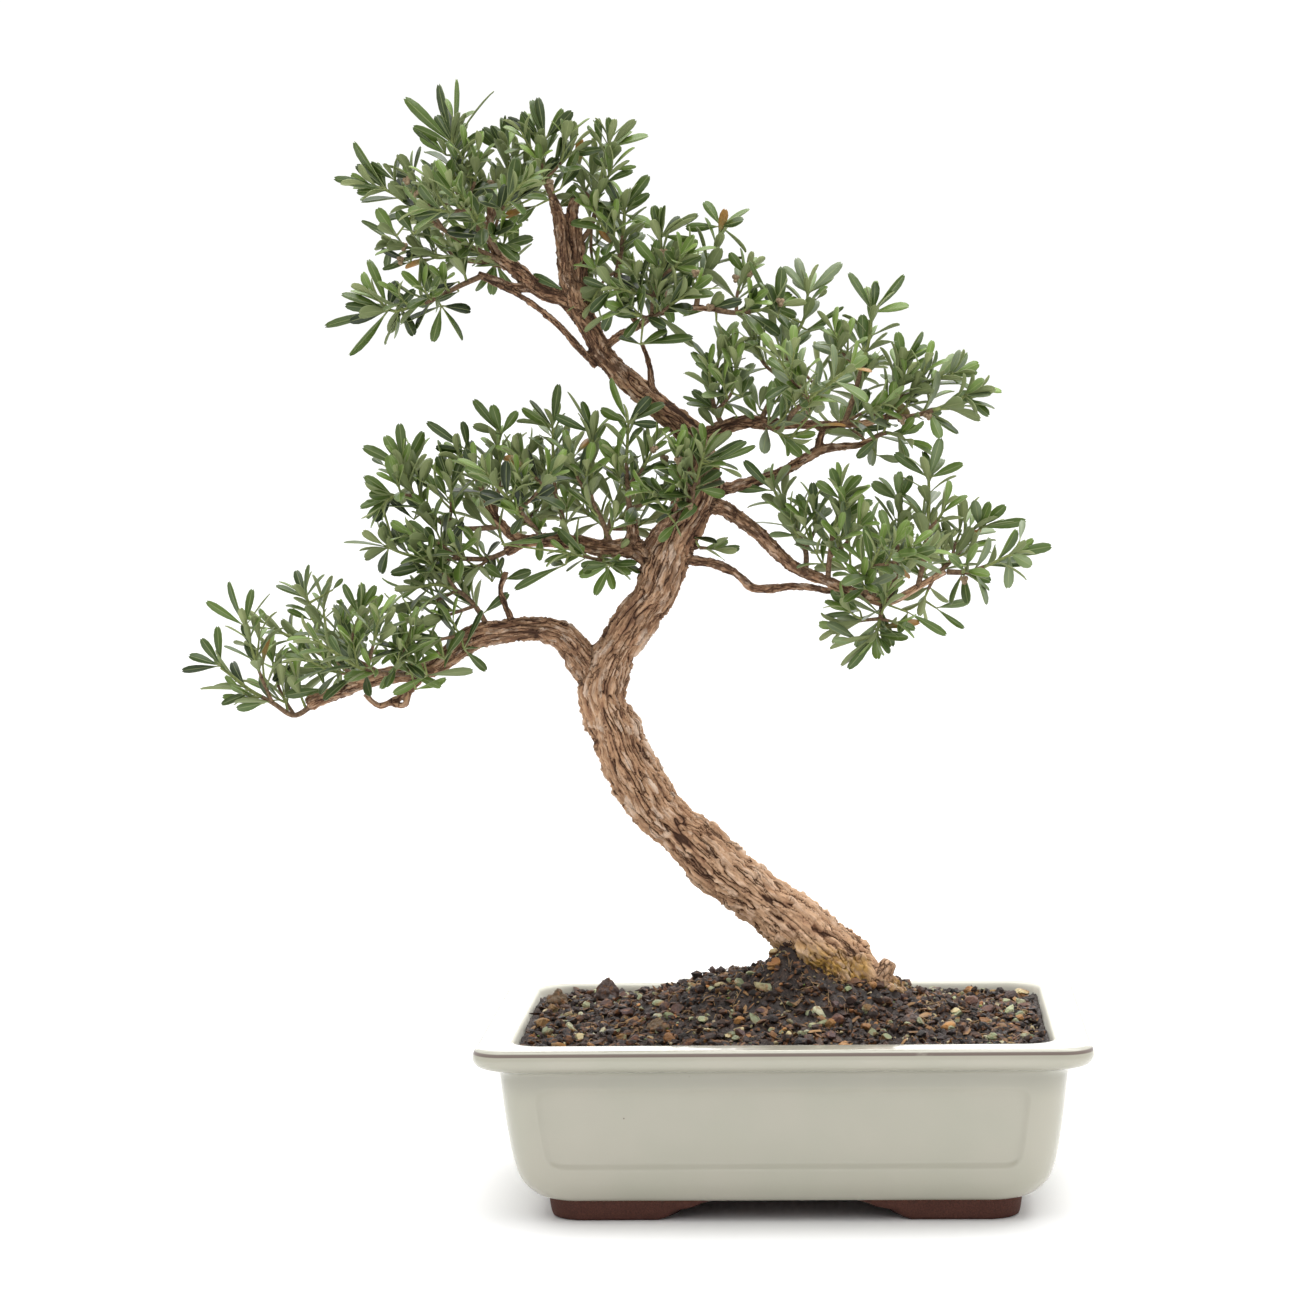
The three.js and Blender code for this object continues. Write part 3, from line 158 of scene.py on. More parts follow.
# Leafy sprays: a stem that starts on a limb, then twigs that start on the stem; x, z and depth
SPRAYS = {
    "left_low_tip": [[[-236, 246, -3], [-247, 239.5, -6], [-258, 246, -9], [-270, 253, -9], [-281, 262, -7],
        [-284, 264, -6]], [[-258, 246, -9], [-263, 258, -13], [-267, 270, -16], [-270, 282, -18]],
        [[-247, 239.5, -6], [-252, 248, 2], [-256, 258, 8], [-258, 270, 10]]],
    "left_low_upper": [[[-204, 261, -8], [-216, 268, -14], [-226, 278, -18], [-234, 289, -20],
        [-240, 300, -20]], [[-216, 268, -14], [-216, 281, -22], [-212, 292, -26]], [[-204, 261, -8],
        [-216, 260, -20], [-228, 262, -26], [-240, 268, -28]]],
    "left_low_front": [[[-186, 260, -10], [-196, 260, -26], [-210, 262, -38], [-224, 270, -44],
        [-236, 278, -46]], [[-210, 262, -38], [-206, 275, -46], [-203, 288, -50]], [[-196, 260, -26],
        [-190, 272, -34], [-186, 286, -38]]],
    "left_low_back": [[[-214, 257, -6], [-222, 264, 8], [-232, 270, 20], [-246, 278, 26], [-260, 286, 28]],
        [[-222, 264, 8], [-214, 276, 20], [-210, 290, 26]], [[-222, 264, 8], [-236, 262, 14],
        [-250, 262, 16]]],
    "left_low_inner": [[[-146, 280, -8], [-154, 294, -10], [-163, 302, -11], [-174, 305, -13],
        [-186, 303, -15]], [[-163, 302, -11], [-170, 311, -14], [-178, 317, -17]], [[-154, 294, -10],
        [-166, 290, -16], [-180, 286, -20]], [[-163, 302, -11], [-176, 296, -4], [-190, 294, 0]],
        [[-156, 279, -14], [-168, 278, -22], [-180, 275, -26], [-194, 272, -28]]],
    "left_mid_tip": [[[-130, 325, 7], [-146, 318, 2], [-162, 318, -4], [-176, 318, -8], [-190, 321, -10],
        [-199, 325, -10]], [[-162, 318, -4], [-172, 326, -10], [-184, 330, -14]], [[-146, 318, 2],
        [-154, 312, -3], [-161, 309, -6]]],
    "left_mid_outer": [[[-139, 334, 7], [-152, 333, 6], [-166, 334, 4], [-176, 341, 2], [-184, 350, 0],
        [-189, 364, 0]], [[-166, 334, 4], [-165, 346, 0], [-165, 358, -2]], [[-184, 350, 0],
        [-194, 350, -4], [-200, 345, -6]], [[-184, 350, 0], [-186, 358, 8], [-183, 368, 12]]],
    "left_mid_top": [[[-147, 348, 7], [-151, 356, 5], [-156, 363, 4], [-160, 369, 4]]],
    "left_mid_high": [[[-143, 339, 7], [-141, 352, 12], [-140, 363, 14], [-141, 373, 14]], [[-141, 352, 12],
        [-131, 360, 18], [-126, 369, 20]]],
    "left_mid_inner": [[[-106, 326, 7], [-109, 338, 8], [-112, 350, 8], [-113, 366, 7], [-113, 383, 6]],
        [[-112, 350, 8], [-122, 358, 4], [-129, 368, 0]]],
    "left_mid_front": [[[-118, 326.5, 8], [-124, 334, -12], [-131, 342, -28], [-139, 351, -40],
        [-147, 361, -46]], [[-131, 342, -28], [-122, 350, -38], [-114, 361, -44]]],
    "left_mid_back": [[[-126, 327, 8], [-134, 331, 24], [-144, 338, 38], [-154, 348, 46], [-162, 360, 48]],
        [[-134, 331, 24], [-122, 342, 36], [-114, 356, 42]]],
    "left_mid_under": [[[-92, 322, 3], [-89, 316, -4], [-85, 314, -8]], [[-89, 316, -4], [-98, 318, -10],
        [-106, 320, -14]]],
    "centre_left": [[[-84, 323, 1], [-89, 336, -2], [-94, 348, -4], [-94, 362, -5], [-93, 378, -5]],
        [[-94, 348, -4], [-101, 358, -12], [-104, 370, -15]]],
    "centre_tall": [[[-75, 342, -6], [-76, 353, -10], [-76, 367, -12], [-75, 383, -12]], [[-76, 353, -10],
        [-68, 362, -16], [-62, 373, -18]], [[-75, 342, -6], [-68, 344, -16], [-61, 346, -22]]],
    "centre_back": [[[-88, 322, 2], [-86, 332, 18], [-82, 344, 30], [-78, 358, 36]], [[-86, 332, 18],
        [-74, 332, 22], [-64, 337, 24]], [[-86, 332, 18], [-98, 342, 30], [-106, 354, 36]]],
    "trunk_front": [[[-44, 340, -13], [-43, 350, -20], [-40, 360, -24], [-37, 370, -26]], [[-43, 350, -20],
        [-50, 360, -26], [-51, 370, -28]], [[-44, 340, -13], [-54, 346, -22], [-64, 350, -28]],
        [[-40, 321.8, -7.5], [-37, 321.6, -8.5], [-34, 321, -9]]],
    "crown_top": [[[-139, 473, 5], [-149, 483, 0], [-156, 494, -3], [-160, 506, -5], [-161, 521, -5],
        [-160, 538, -5]], [[-156, 494, -3], [-150, 506, -9], [-148, 520, -12]]],
    "crown_left": [[[-134, 466, 5], [-150, 473, -4], [-166, 483, -12], [-180, 493, -17], [-192, 502, -19],
        [-202, 506, -19]], [[-166, 483, -12], [-174, 496, -18], [-181, 509, -20]]],
    "crown_left_low": [[[-129, 462, 5], [-144, 466, 12], [-160, 468, 16], [-176, 472, 18], [-189, 476, 18]],
        [[-160, 468, 16], [-170, 480, 20], [-178, 490, 22]]],
    "crown_corner": [[[-146, 460, -3], [-158, 455, -8], [-170, 449, -12], [-182, 445, -14],
        [-193, 443, -14], [-201, 450, -14]]],
    "crown_mid": [[[-142.5, 487, 5], [-137, 497, 10], [-134, 508, 12], [-133, 522, 12]], [[-137, 497, 10],
        [-128, 504, 18], [-124, 514, 20]]],
    "crown_high": [[[-110.5, 496, 3], [-115, 507, 0], [-117, 519, -2], [-119, 531, -2]], [[-115, 507, 0],
        [-107, 515, -6], [-104, 527, -8]]],
    "crown_front": [[[-138, 470, 5], [-142, 477, -14], [-147, 485, -28], [-152, 493, -38],
        [-158, 501, -44]], [[-142, 477, -14], [-138, 489, -26], [-132, 499, -36], [-124, 507, -42]],
        [[-152, 493, -38], [-164, 492, -48], [-175, 494, -52]]],
    "crown_back": [[[-138, 470, 5], [-141, 478, 22], [-146, 487, 36], [-152, 495, 44], [-157, 504, 48]],
        [[-146, 487, 36], [-134, 496, 46], [-122, 504, 50]], [[-152, 495, 44], [-165, 496, 50],
        [-176, 500, 52]]],
    "peak_right": [[[-98.5, 474, 6], [-92, 483, 6], [-89, 494, 5], [-87, 505, 4], [-84, 517, 4],
        [-82, 526, 4]], [[-89, 494, 5], [-96, 503, 14], [-98, 514, 18]], [[-92, 483, 6], [-92, 470, 12],
        [-90, 458, 14]]],
    "peak_inner": [[[-79, 461, 8], [-77, 472, 6], [-75.5, 483, 5], [-75, 494, 5]], [[-77, 472, 6],
        [-84, 480, 0], [-89, 489, -3]], [[-79, 461, 8], [-86, 456, 4], [-92, 446, 2]], [[-79, 461, 8],
        [-72, 452, 12], [-66, 446, 14]]],
    "crown_right": [[[-62, 437.5, 2], [-61, 448, -4], [-58, 457, -7], [-56, 465, -8], [-57, 473, -8]],
        [[-58, 457, -7], [-50, 463, -12], [-45, 468, -14]], [[-62, 437.5, 2], [-56, 441, -10],
        [-49, 446, -18], [-42, 450, -22]], [[-61, 448, -4], [-69, 449, -12], [-78, 452, -16]],
        [[-62, 437.5, 2], [-68, 438, -10], [-75, 441, -16]]],
    "crown_right_tip": [[[-40, 442, -1], [-38, 452, 2], [-34, 461, 3], [-31, 468, 3], [-28.5, 476, 3]]],
    "crown_right_low": [[[-30, 440.5, -2], [-20, 439, -4], [-9, 440, -6], [1, 442, -7]], [[-20, 439, -4],
        [-19, 450, 2], [-15, 459, 4]]],
    "crown_right_back": [[[-56, 440.5, 1], [-56, 448, 16], [-52, 458, 28], [-46, 467, 34]], [[-56, 448, 16],
        [-67, 456, 28], [-76, 466, 34]]],
    "right_upper_inner": [[[-27, 382, 1], [-31, 390, -5], [-33, 400, -9], [-34, 410, -11]], [[-31, 390, -5],
        [-23, 399, -12], [-21, 411, -15]], [[-33, 400, -9], [-30, 412, -4], [-27, 424, -2]]],
    "right_upper_rising": [[[-9, 384, 3], [-3, 396, 4], [2, 406, 4], [6, 417, 4], [10, 428, 3],
        [14, 436, 2], [16, 449, 2]], [[2, 406, 4], [-7, 414, 2], [-12, 426, 1]], [[-9, 384, 3],
        [-2, 380, -6], [6, 376, -12]]],
    "right_upper_tall": [[[33, 382.5, 5], [38, 396, 6], [42, 410, 6], [46, 424, 6], [48, 439, 6]],
        [[42, 410, 6], [33, 418, 0], [29, 428, -2]], [[33, 382.5, 5], [42, 388, -4], [52, 392, -10]]],
    "right_upper_out": [[[46, 383.5, 4], [55, 394, 4], [60, 403, 4], [63, 412, 4]], [[55, 394, 4],
        [68, 398, 2], [78, 404, 0], [88, 407, 0]]],
    "right_upper_tip": [[[54, 386, 3], [66, 386, -4], [78, 389, -8], [90, 394, -10], [98, 398, -10]]],
    "right_upper_front": [[[4, 383, 4], [8, 389, -14], [16, 396, -28], [26, 403, -38], [36, 410, -44]],
        [[16, 396, -28], [7, 405, -38], [1, 416, -42]]],
    "right_upper_back": [[[12, 383, 4], [16, 390, 22], [24, 398, 36], [34, 406, 44], [46, 412, 48]],
        [[24, 398, 36], [14, 408, 44], [8, 420, 46]]],
    "right_under": [[[44, 373.5, 9], [54, 378, 6], [63, 375, 2]], [[44, 373.5, 9], [38, 379, 14],
        [30, 380, 18]]],
    "right_low_inner": [[[13, 308.5, -12], [13, 320, -8], [7, 332, -4], [1, 343, -2], [-3, 352, -2]],
        [[13, 320, -8], [18, 331, -12], [17, 343, -14]]],
    "right_low_second": [[[24, 304, -12], [25, 316, -16], [27, 328, -18], [30, 340, -19], [31, 350, -19]],
        [[25, 316, -16], [35, 325, -26], [41, 334, -30]]],
    "right_low_third": [[[55, 293.5, -9], [58, 307, -4], [59, 321, -1], [60, 335, 1], [60, 346, 2]],
        [[58, 307, -4], [49, 318, 6], [46, 330, 10]]],
    "right_low_tall": [[[69, 300.5, -7], [72, 314, -8], [74, 329, -8], [75, 343, -7], [75, 356, -6]],
        [[74, 329, -8], [80, 335, -12], [83, 341, -14]]],
    "right_low_out": [[[77, 305, -5], [86, 314, 1], [95, 324, 6], [103, 332, 8]], [[86, 314, 1],
        [88, 322, 8], [91, 329, 12]], [[77, 305, -5], [74, 299, 4], [72, 294, 8]]],
    "right_low_tip": [[[84, 308, -4], [95, 308, -10], [106, 312, -14], [117, 317, -16]]],
    "right_low_bottom": [[[51, 293, -9], [50, 285, -14], [48, 277, -17]], [[50, 285, -14], [58, 283, -20]],
        [[50, 285, -14], [40, 284, -10], [32, 282, -8]]],
    "right_low_front": [[[42, 296.5, -11], [44, 302, -24], [46, 311, -36], [50, 320, -42]], [[46, 311, -36],
        [60, 314, -44], [72, 318, -46]]],
    "right_low_back": [[[46, 295, -10], [50, 302, 8], [54, 312, 24], [58, 324, 34]], [[54, 312, 24],
        [68, 316, 34], [80, 322, 38]], [[50, 302, 8], [36, 310, 22], [28, 320, 30]]],
}

# Leaves that show, for each spray: where they spring from, and for each leaf the x and z of its tip and,
# where they were read, its width and how spent it is
SHOWN_LEAVES = {
    "crown_left": [[[-194, 503], [[-220, 510], [-213, 527], [-210, 517], [-200, 517], [-210, 503]]],
        [[-181, 509], [[-186, 520], [-177, 524], [-192, 513]]], [[-190, 508], [[-193, 516, 3],
        [-189, 520, 2.6], [-203, 517, 4.6]]], [[-183, 496], [[-191, 506, 6], [-181, 499, 5]]], [[-190, 480],
        [[-199, 494, 6], [-196, 485, 4.6], [-207, 488, 2.8]]], [[-181, 481], [[-171, 500, 7.6],
        [-188, 492, 6]]]],
    "crown_top": [[[-160, 525], [[-170, 556], [-158, 558], [-184, 548], [-142, 553], [-180, 534],
        [-169, 540], [-155, 541]]], [[-164, 520], [[-176, 530, 6], [-180, 533, 2.6], [-166, 527, 5]]],
        [[-161, 520], [[-146, 531, 4.2], [-155, 531, 2.6]]], [[-164, 504], [[-160, 517, 6], [-153, 512, 5],
        [-172, 507, 5], [-177, 519, 4]]], [[-154, 509], [[-146, 522, 5.4]]]],
    "crown_mid": [[[-133, 520], [[-141, 534], [-145, 533], [-135, 538], [-126, 526]]], [[-135, 521],
        [[-147, 531, 6], [-140, 533, 3.4], [-134, 539, 2]]], [[-145, 499], [[-153, 510, 6],
        [-157, 501, 6]]], [[-148, 479], [[-154, 495, 6], [-163, 483, 5.6]]], [[-140, 505],
        [[-134, 513, 7]]], [[-131, 515], [[-127, 524, 4.6], [-135, 524, 4]]]],
    "crown_high": [[[-114, 527], [[-121, 547], [-118, 548], [-105, 542], [-100, 540], [-134, 538]]],
        [[-117, 528], [[-119, 547, 7], [-116, 544, 3], [-124, 539, 3.2], [-135, 537, 3.6]]], [[-115, 516],
        [[-116, 528, 6.6], [-106, 540, 2.6]]], [[-125, 503], [[-134, 512, 6], [-129, 519, 4.4]]],
        [[-115, 504], [[-123, 517, 6], [-110, 517, 6.8]]], [[-107, 502], [[-99, 513, 6], [-98, 521, 5]]],
        [[-119, 494], [[-137, 490, 4, 1], [-126, 487, 4]]], [[-136, 491], [[-135, 499, 4]]]],
    "crown_left_low": [[[-192, 477], [[-190, 478], [-198, 475], [-196, 465], [-205, 487]]], [[-178, 470],
        [[-180, 448], [-174, 452], [-166, 452]]], [[-140, 466], [[-143, 450], [-132, 450], [-150, 452]]],
        [[-170, 472], [[-186, 471, 5], [-172, 475, 5.4], [-176, 485, 5.2]]], [[-183, 467], [[-197, 464, 3],
        [-198, 474, 3.6]]]],
    "crown_corner": [[[-195, 443], [[-203, 470], [-217, 453], [-216, 446], [-214, 438], [-229, 437],
        [-213, 420], [-191, 458]]], [[-189, 445], [[-195, 433], [-192, 429], [-183, 431]]], [[-168, 445],
        [[-172, 427], [-157, 428], [-154, 443], [-188, 437]]], [[-192, 442], [[-181, 453, 5]]],
        [[-159, 457], [[-173, 452, 5]]], [[-159, 452], [[-167, 448, 3.1]]]],
    "peak_right": [[[-82, 522], [[-89, 535], [-82, 537], [-69, 536], [-63, 529], [-99, 520]]], [[-108, 493],
        [[-96, 499, 6.6], [-99, 503, 5]]], [[-86, 523], [[-88, 537, 5], [-93, 533, 2.6]]], [[-81, 511],
        [[-83, 523, 6], [-90, 518, 5], [-70, 512, 2.6]]]],
    "peak_inner": [[[-75, 492], [[-85, 506], [-63, 508], [-63, 498], [-88, 494]]], [[-75, 489], [[-85, 507],
        [-64, 508], [-64, 498], [-88, 493], [-63, 484]]], [[-78, 472], [[-88, 483], [-87, 465],
        [-69, 479]]], [[-105, 451], [[-103, 470], [-122, 460], [-95, 457], [-112, 448]]], [[-76, 490],
        [[-85, 507, 5.2], [-64, 507, 2.4]]], [[-78, 471], [[-88, 482, 3.6], [-89, 494, 6]]]],
    "crown_right": [[[-57, 478], [[-60, 493], [-55, 491], [-47, 487], [-39, 489], [-41, 476]]], [[-68, 424],
        [[-79, 428], [-55, 430], [-42, 428]]], [[-60, 439], [[-41, 424], [-66, 446], [-51, 448]]],
        [[-59, 452], [[-51, 435], [-47, 458], [-37, 462]]], [[-81, 442], [[-96, 431], [-87, 432],
        [-76, 453]]], [[-82, 452], [[-97, 457], [-87, 462], [-92, 441]]], [[-62, 456], [[-80, 462],
        [-78, 453], [-59, 476]]], [[-56, 459], [[-37, 467], [-70, 476], [-42, 476]]], [[-57, 477],
        [[-61, 493], [-56, 492], [-47, 487], [-40, 488]]]],
    "crown_right_tip": [[[-27, 482], [[-35, 495], [-13, 491], [-17, 484], [-14, 470], [-45, 482]]],
        [[-34, 441], [[-47, 439], [-27, 448], [-17, 445]]]],
    "crown_right_low": [[[-2, 442], [[10, 437], [7, 449], [-6, 452]]], [[-15, 458], [[-7, 466],
        [-22, 468]]], [[-30, 435], [[-19, 417, 6]]], [[1, 436], [[3, 462, 6], [-5, 453, 6.6],
        [-13, 464, 3]]]],
    "right_upper_rising": [[[16, 448], [[10, 466], [28, 457], [33, 463], [9, 456], [5, 462]]], [[-5, 383],
        [[8, 399, 7], [-2, 405, 5]]], [[-9, 391], [[-14, 404, 4], [-6, 402, 4.6]]], [[2, 403],
        [[-1, 413, 5], [5, 414, 5], [10, 412, 4]]], [[7, 436], [[-4, 453, 5]]], [[6, 422], [[10, 436, 7],
        [16, 430, 4.6], [0, 428, 4]]], [[15, 430], [[34, 441, 2.6], [25, 434, 4]]], [[16, 387],
        [[22, 404, 7, 0.35], [11, 403, 5.6, 0.35]]], [[19, 382], [[33, 383, 4.6, 1]]], [[-10, 388],
        [[-16, 398, 5.7]]], [[20, 445], [[25, 449, 2.7]]]],
    "right_upper_tall": [[[48, 438], [[45, 450], [50, 452], [66, 441], [65, 456], [37, 458]]], [[29, 417],
        [[25, 430, 5.4], [33, 435, 6], [35, 428, 5]]], [[43, 419], [[43, 437, 6.4], [31, 435, 4.6]]],
        [[40, 404], [[46, 417, 7], [35, 412, 4]]], [[31, 383], [[44, 399, 8], [27, 397, 5], [34, 393, 5]]],
        [[48, 384], [[56, 394, 5.4], [44, 393, 5]]]],
    "right_upper_out": [[[63, 412], [[60, 428], [73, 428], [75, 421]]], [[86, 406], [[90, 417], [96, 416],
        [99, 408]]], [[52, 399], [[65, 386, 6, 0.5]]]],
    "right_upper_tip": [[[93, 396], [[102, 403], [105, 397], [106, 386], [100, 388]]], [[76, 388],
        [[87, 379], [80, 377]]]],
    "right_under": [[[60, 376], [[78, 368], [63, 363], [66, 384]]], [[50, 376], [[45, 362], [40, 366]]],
        [[30, 379], [[54, 381, 3.4]]], [[49, 367], [[59, 364, 4.2]]]],
    "right_low_inner": [[[-3, 350], [[5, 363], [-17, 365], [-24, 352]]], [[18, 334], [[9, 348, 5],
        [17, 354, 5], [26, 340, 4]]]],
    "right_low_second": [[[31, 345], [[27, 361], [41, 357], [44, 352], [19, 354]]], [[24, 322],
        [[18, 334, 5], [33, 316, 6], [8, 325, 3]]]],
    "right_low_third": [[[60, 344], [[60, 357], [47, 353], [66, 356]]], [[45, 293], [[46, 314, 6.4],
        [59, 301, 7.6]]], [[58, 335], [[55, 343, 3.2]]]],
    "right_low_tall": [[[75, 355], [[73, 368], [81, 375], [92, 362], [82, 364], [58, 368]]]],
    "right_low_out": [[[100, 330], [[105, 342], [113, 341], [117, 334], [123, 333], [98, 343, 6]]],
        [[78, 290], [[92, 279, 3.4], [95, 293, 4.4]]], [[72, 306], [[61, 315, 5], [68, 324, 5.4],
        [79, 308, 4]]]],
    "right_low_tip": [[[115, 317], [[136, 320], [124, 312], [114, 299]]], [[92, 308], [[93, 293], [84, 292],
        [104, 300]]], [[120, 323], [[122, 332, 3.7]]]],
    "right_low_bottom": [[[48, 277], [[30, 262], [24, 272], [34, 260], [53, 270], [63, 276]]], [[50, 287],
        [[28, 298], [36, 301], [58, 300]]], [[40, 289], [[26, 300, 7.6], [21, 286, 3], [25, 292, 3.4]]],
        [[39, 274], [[24, 284, 6], [27, 275, 4]]], [[47, 280], [[63, 275, 5], [70, 283, 4.6]]]],
    "left_mid_outer": [[[-189, 364], [[-208, 376], [-198, 381], [-190, 387], [-185, 375], [-178, 382]]],
        [[-194, 350], [[-208, 360], [-204, 351], [-212, 345], [-205, 337]]], [[-165, 354], [[-171, 378],
        [-172, 370], [-160, 367]]], [[-194, 324], [[-202, 337, 4.4], [-194, 336, 5], [-187, 335, 5]]],
        [[-184, 338], [[-210, 360, 4], [-198, 351, 4], [-177, 354, 4]]], [[-167, 349], [[-171, 359, 4.7]]],
        [[-198, 365], [[-205, 369, 3.6]]]],
    "left_mid_tip": [[[-197, 324], [[-220, 329], [-208, 320], [-203, 311], [-199, 334]]], [[-176, 315],
        [[-196, 311], [-186, 302], [-166, 313], [-158, 303]]], [[-173, 324], [[-163, 338], [-187, 324],
        [-176, 333]]], [[-139, 307], [[-125, 311], [-146, 314], [-149, 321]]], [[-145, 306],
        [[-146, 319, 5], [-150, 314, 3.4], [-139, 318, 3.4]]], [[-148, 318], [[-158, 325, 3.4],
        [-152, 326, 3], [-143, 326, 4]]], [[-169, 323], [[-159, 336, 5], [-169, 329, 6], [-176, 326, 4]]]],
    "left_mid_top": [[[-156, 372], [[-158, 387], [-176, 387], [-172, 374]]]],
    "left_mid_high": [[[-139, 380], [[-143, 395], [-153, 398], [-131, 391], [-152, 385]]]],
    "left_mid_inner": [[[-113, 383], [[-110, 405], [-128, 393], [-131, 388], [-124, 397]]], [[-114, 379],
        [[-120, 384, 4]]]],
    "centre_left": [[[-93, 380], [[-98, 396], [-105, 401], [-112, 389]]], [[-102, 369], [[-96, 377, 3.5]]]],
    "centre_tall": [[[-75, 385], [[-84, 407], [-89, 392], [-64, 398], [-57, 395], [-61, 384]]], [[-52, 334],
        [[-59, 327], [-42, 343], [-50, 327]]]],
    "trunk_front": [[[-38, 366], [[-48, 381], [-42, 383], [-24, 381], [-17, 374], [-20, 362]]], [[-41, 352],
        [[-28, 348], [-30, 360], [-52, 364]]], [[-34, 321], [[-20, 321], [-27, 327]]], [[-43, 327],
        [[-33, 326]]], [[-34, 364], [[-11, 372, 3.6], [-16, 375, 4]]], [[-29, 362], [[-19, 358, 3.5]]]],
    "left_mid_under": [[[-85, 314], [[-73, 315], [-75, 308], [-93, 299], [-101, 309], [-99, 314]]],
        [[-108, 314], [[-115, 316], [-134, 304], [-100, 323]]], [[-140, 325], [[-111, 329, 2.4],
        [-120, 327, 2.4]]]],
    "left_low_inner": [[[-150, 290], [[-137, 300]]], [[-160, 272], [[-150, 261], [-150, 275], [-150, 292]]],
        [[-170, 267], [[-161, 282], [-181, 274], [-177, 282]]], [[-179, 259], [[-155, 262], [-196, 250],
        [-188, 270]]], [[-185, 252], [[-170, 256]]]],
    "left_low_tip": [[[-271, 285], [[-282, 307], [-268, 304], [-290, 298], [-258, 302]]], [[-284, 265],
        [[-293, 279], [-301, 271], [-305, 263], [-286, 285]]], [[-268, 252], [[-295, 255], [-284, 246],
        [-276, 243]]], [[-231, 253], [[-243, 246], [-251, 250], [-236, 266]]], [[-262, 246], [[-285, 249],
        [-277, 243]]], [[-246, 267], [[-259, 272], [-241, 279], [-256, 258]]]],
    "left_low_upper": [[[-240, 299], [[-246, 313], [-238, 316], [-252, 306], [-230, 311]]], [[-213, 290],
        [[-220, 306], [-211, 306], [-204, 305]]], [[-210, 264], [[-223, 276], [-219, 255], [-206, 272]]],
        [[-222, 261], [[-234, 275], [-227, 252], [-213, 279]]], [[-238, 288], [[-246, 293, 3.8]]],
        [[-226, 303], [[-221, 308, 2.6]]]],
    "crown_front": [[[-132, 466], [[-130, 486], [-122, 475]]]],
    "left_low_front": [[[-194, 266], [[-203, 252], [-206, 279], [-195, 284]]]],
    "centre_back": [[[-75, 328], [[-62, 318], [-71, 338], [-83, 317]]]],
    "right_upper_inner": [[[-28, 408], [[-40, 414, 3], [-36, 419, 4]]], [[-18, 397], [[-14, 407, 6.4],
        [-20, 407, 5]]], [[-31, 391], [[-43, 401, 4.6], [-47, 398, 2.4], [-37, 411, 4.4]]], [[-20, 387],
        [[-30, 399, 4.6]]], [[-31, 381], [[-38, 392, 5]]]],
    "right_low_front": [[[64, 288], [[83, 277, 4.4], [60, 281, 4.6]]], [[54, 313], [[49, 318, 5],
        [61, 309, 4]]]],
}

# Places where the crown is open: x and z read from the front, and how wide
OPEN_PLACES = [
    [-285, 262, 13], [-265, 262, 11], [-265, 240, 10], [-165, 300, 12], [-145, 340, 12], [-165, 540, 13],
    [-125, 540, 12], [-125, 460, 11], [-45, 480, 12], [-205, 320, 11], [95, 340, 13], [115, 340, 11],
    [15, 420, 11], [55, 340, 11], [35, 320, 11], [-25, 320, 11],
]

# Seed capsules: the place of each cluster, for each spray
CAPSULES = {
    "crown_left": [[-184, 508], [-180, 501]],
    "crown_left_low": [[-186, 475], [-188, 468], [-168, 480]],
    "crown_right": [[-40, 459], [-56, 470]],
    "crown_right_low": [[-33, 442], [-20, 456], [-13, 459], [2, 444]],
    "crown_mid": [[-142, 505]],
    "crown_high": [[-112, 505]],
    "centre_tall": [[-57, 367], [-62, 372], [-68, 356]],
    "trunk_front": [[-50, 366], [-45, 343]],
    "right_low_tip": [[92, 304]],
    "right_low_third": [[56, 301]],
    "right_upper_tip": [[62, 384], [75, 386]],
}

# Larger stones on the soil: x, y, radius, how flat each is and how far it stands up
LOOSE_STONES = [
    [-93, 44, 6.6, 1.15, 4], [-118, 30, 6.5, 0.85, 4.5], [62, -48, 6.5, 0.75, 1.5], [-62, -52, 6, 0.75, 1.5],
]


# Places and paths


def corner_radius(front_inset: float) -> float:
    """Gives the radius of the pot's corners at a level that is this far in from the rim's front."""
    return RIM_CORNER + 2.5 * float(ease(4, 10, front_inset)) - 0.15 * max(front_inset - 12, 0)


def frame_origin() -> np.ndarray:
    """Finds the pot's middle on the frame, at the height that the measures start from.

    Returns:
        The point, in metres.
    """
    low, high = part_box("pot")
    return np.array([(low.x + high.x) / 2, (low.y + high.y) / 2, low.z - FOOT_LEVEL * MM])


ORIGIN = frame_origin()


def in_frame(points: Sequence | np.ndarray) -> np.ndarray:
    """Moves points measured from the pot's middle into the frame.

    Args:
        points: x, y and z in millimetres, one row for each point.
    Returns:
        The same points in metres.
    """
    return np.asarray(points, float) * MM + ORIGIN


def from_frame(points: Sequence | np.ndarray) -> np.ndarray:
    """Measures points of the frame in millimetres from the pot's middle."""
    return (np.asarray(points, float) - ORIGIN) / MM


def seen_at(places: Sequence | np.ndarray) -> np.ndarray:
    """Finds the points whose places were read from the front, each pushed back along its line of sight.

    Args:
        places: x, z and depth in millimetres, one row for each place.
    Returns:
        Rows of x, y and z in millimetres from the pot's middle.
    """
    places = np.asarray(places, float)
    depth = places[:, 2]
    away = 1 - depth / EYE[1]
    x = EYE[0] + (places[:, 0] - EYE[0]) * away
    z = EYE[2] + (places[:, 1] - EYE[2]) * away
    return np.column_stack([x, depth, z])


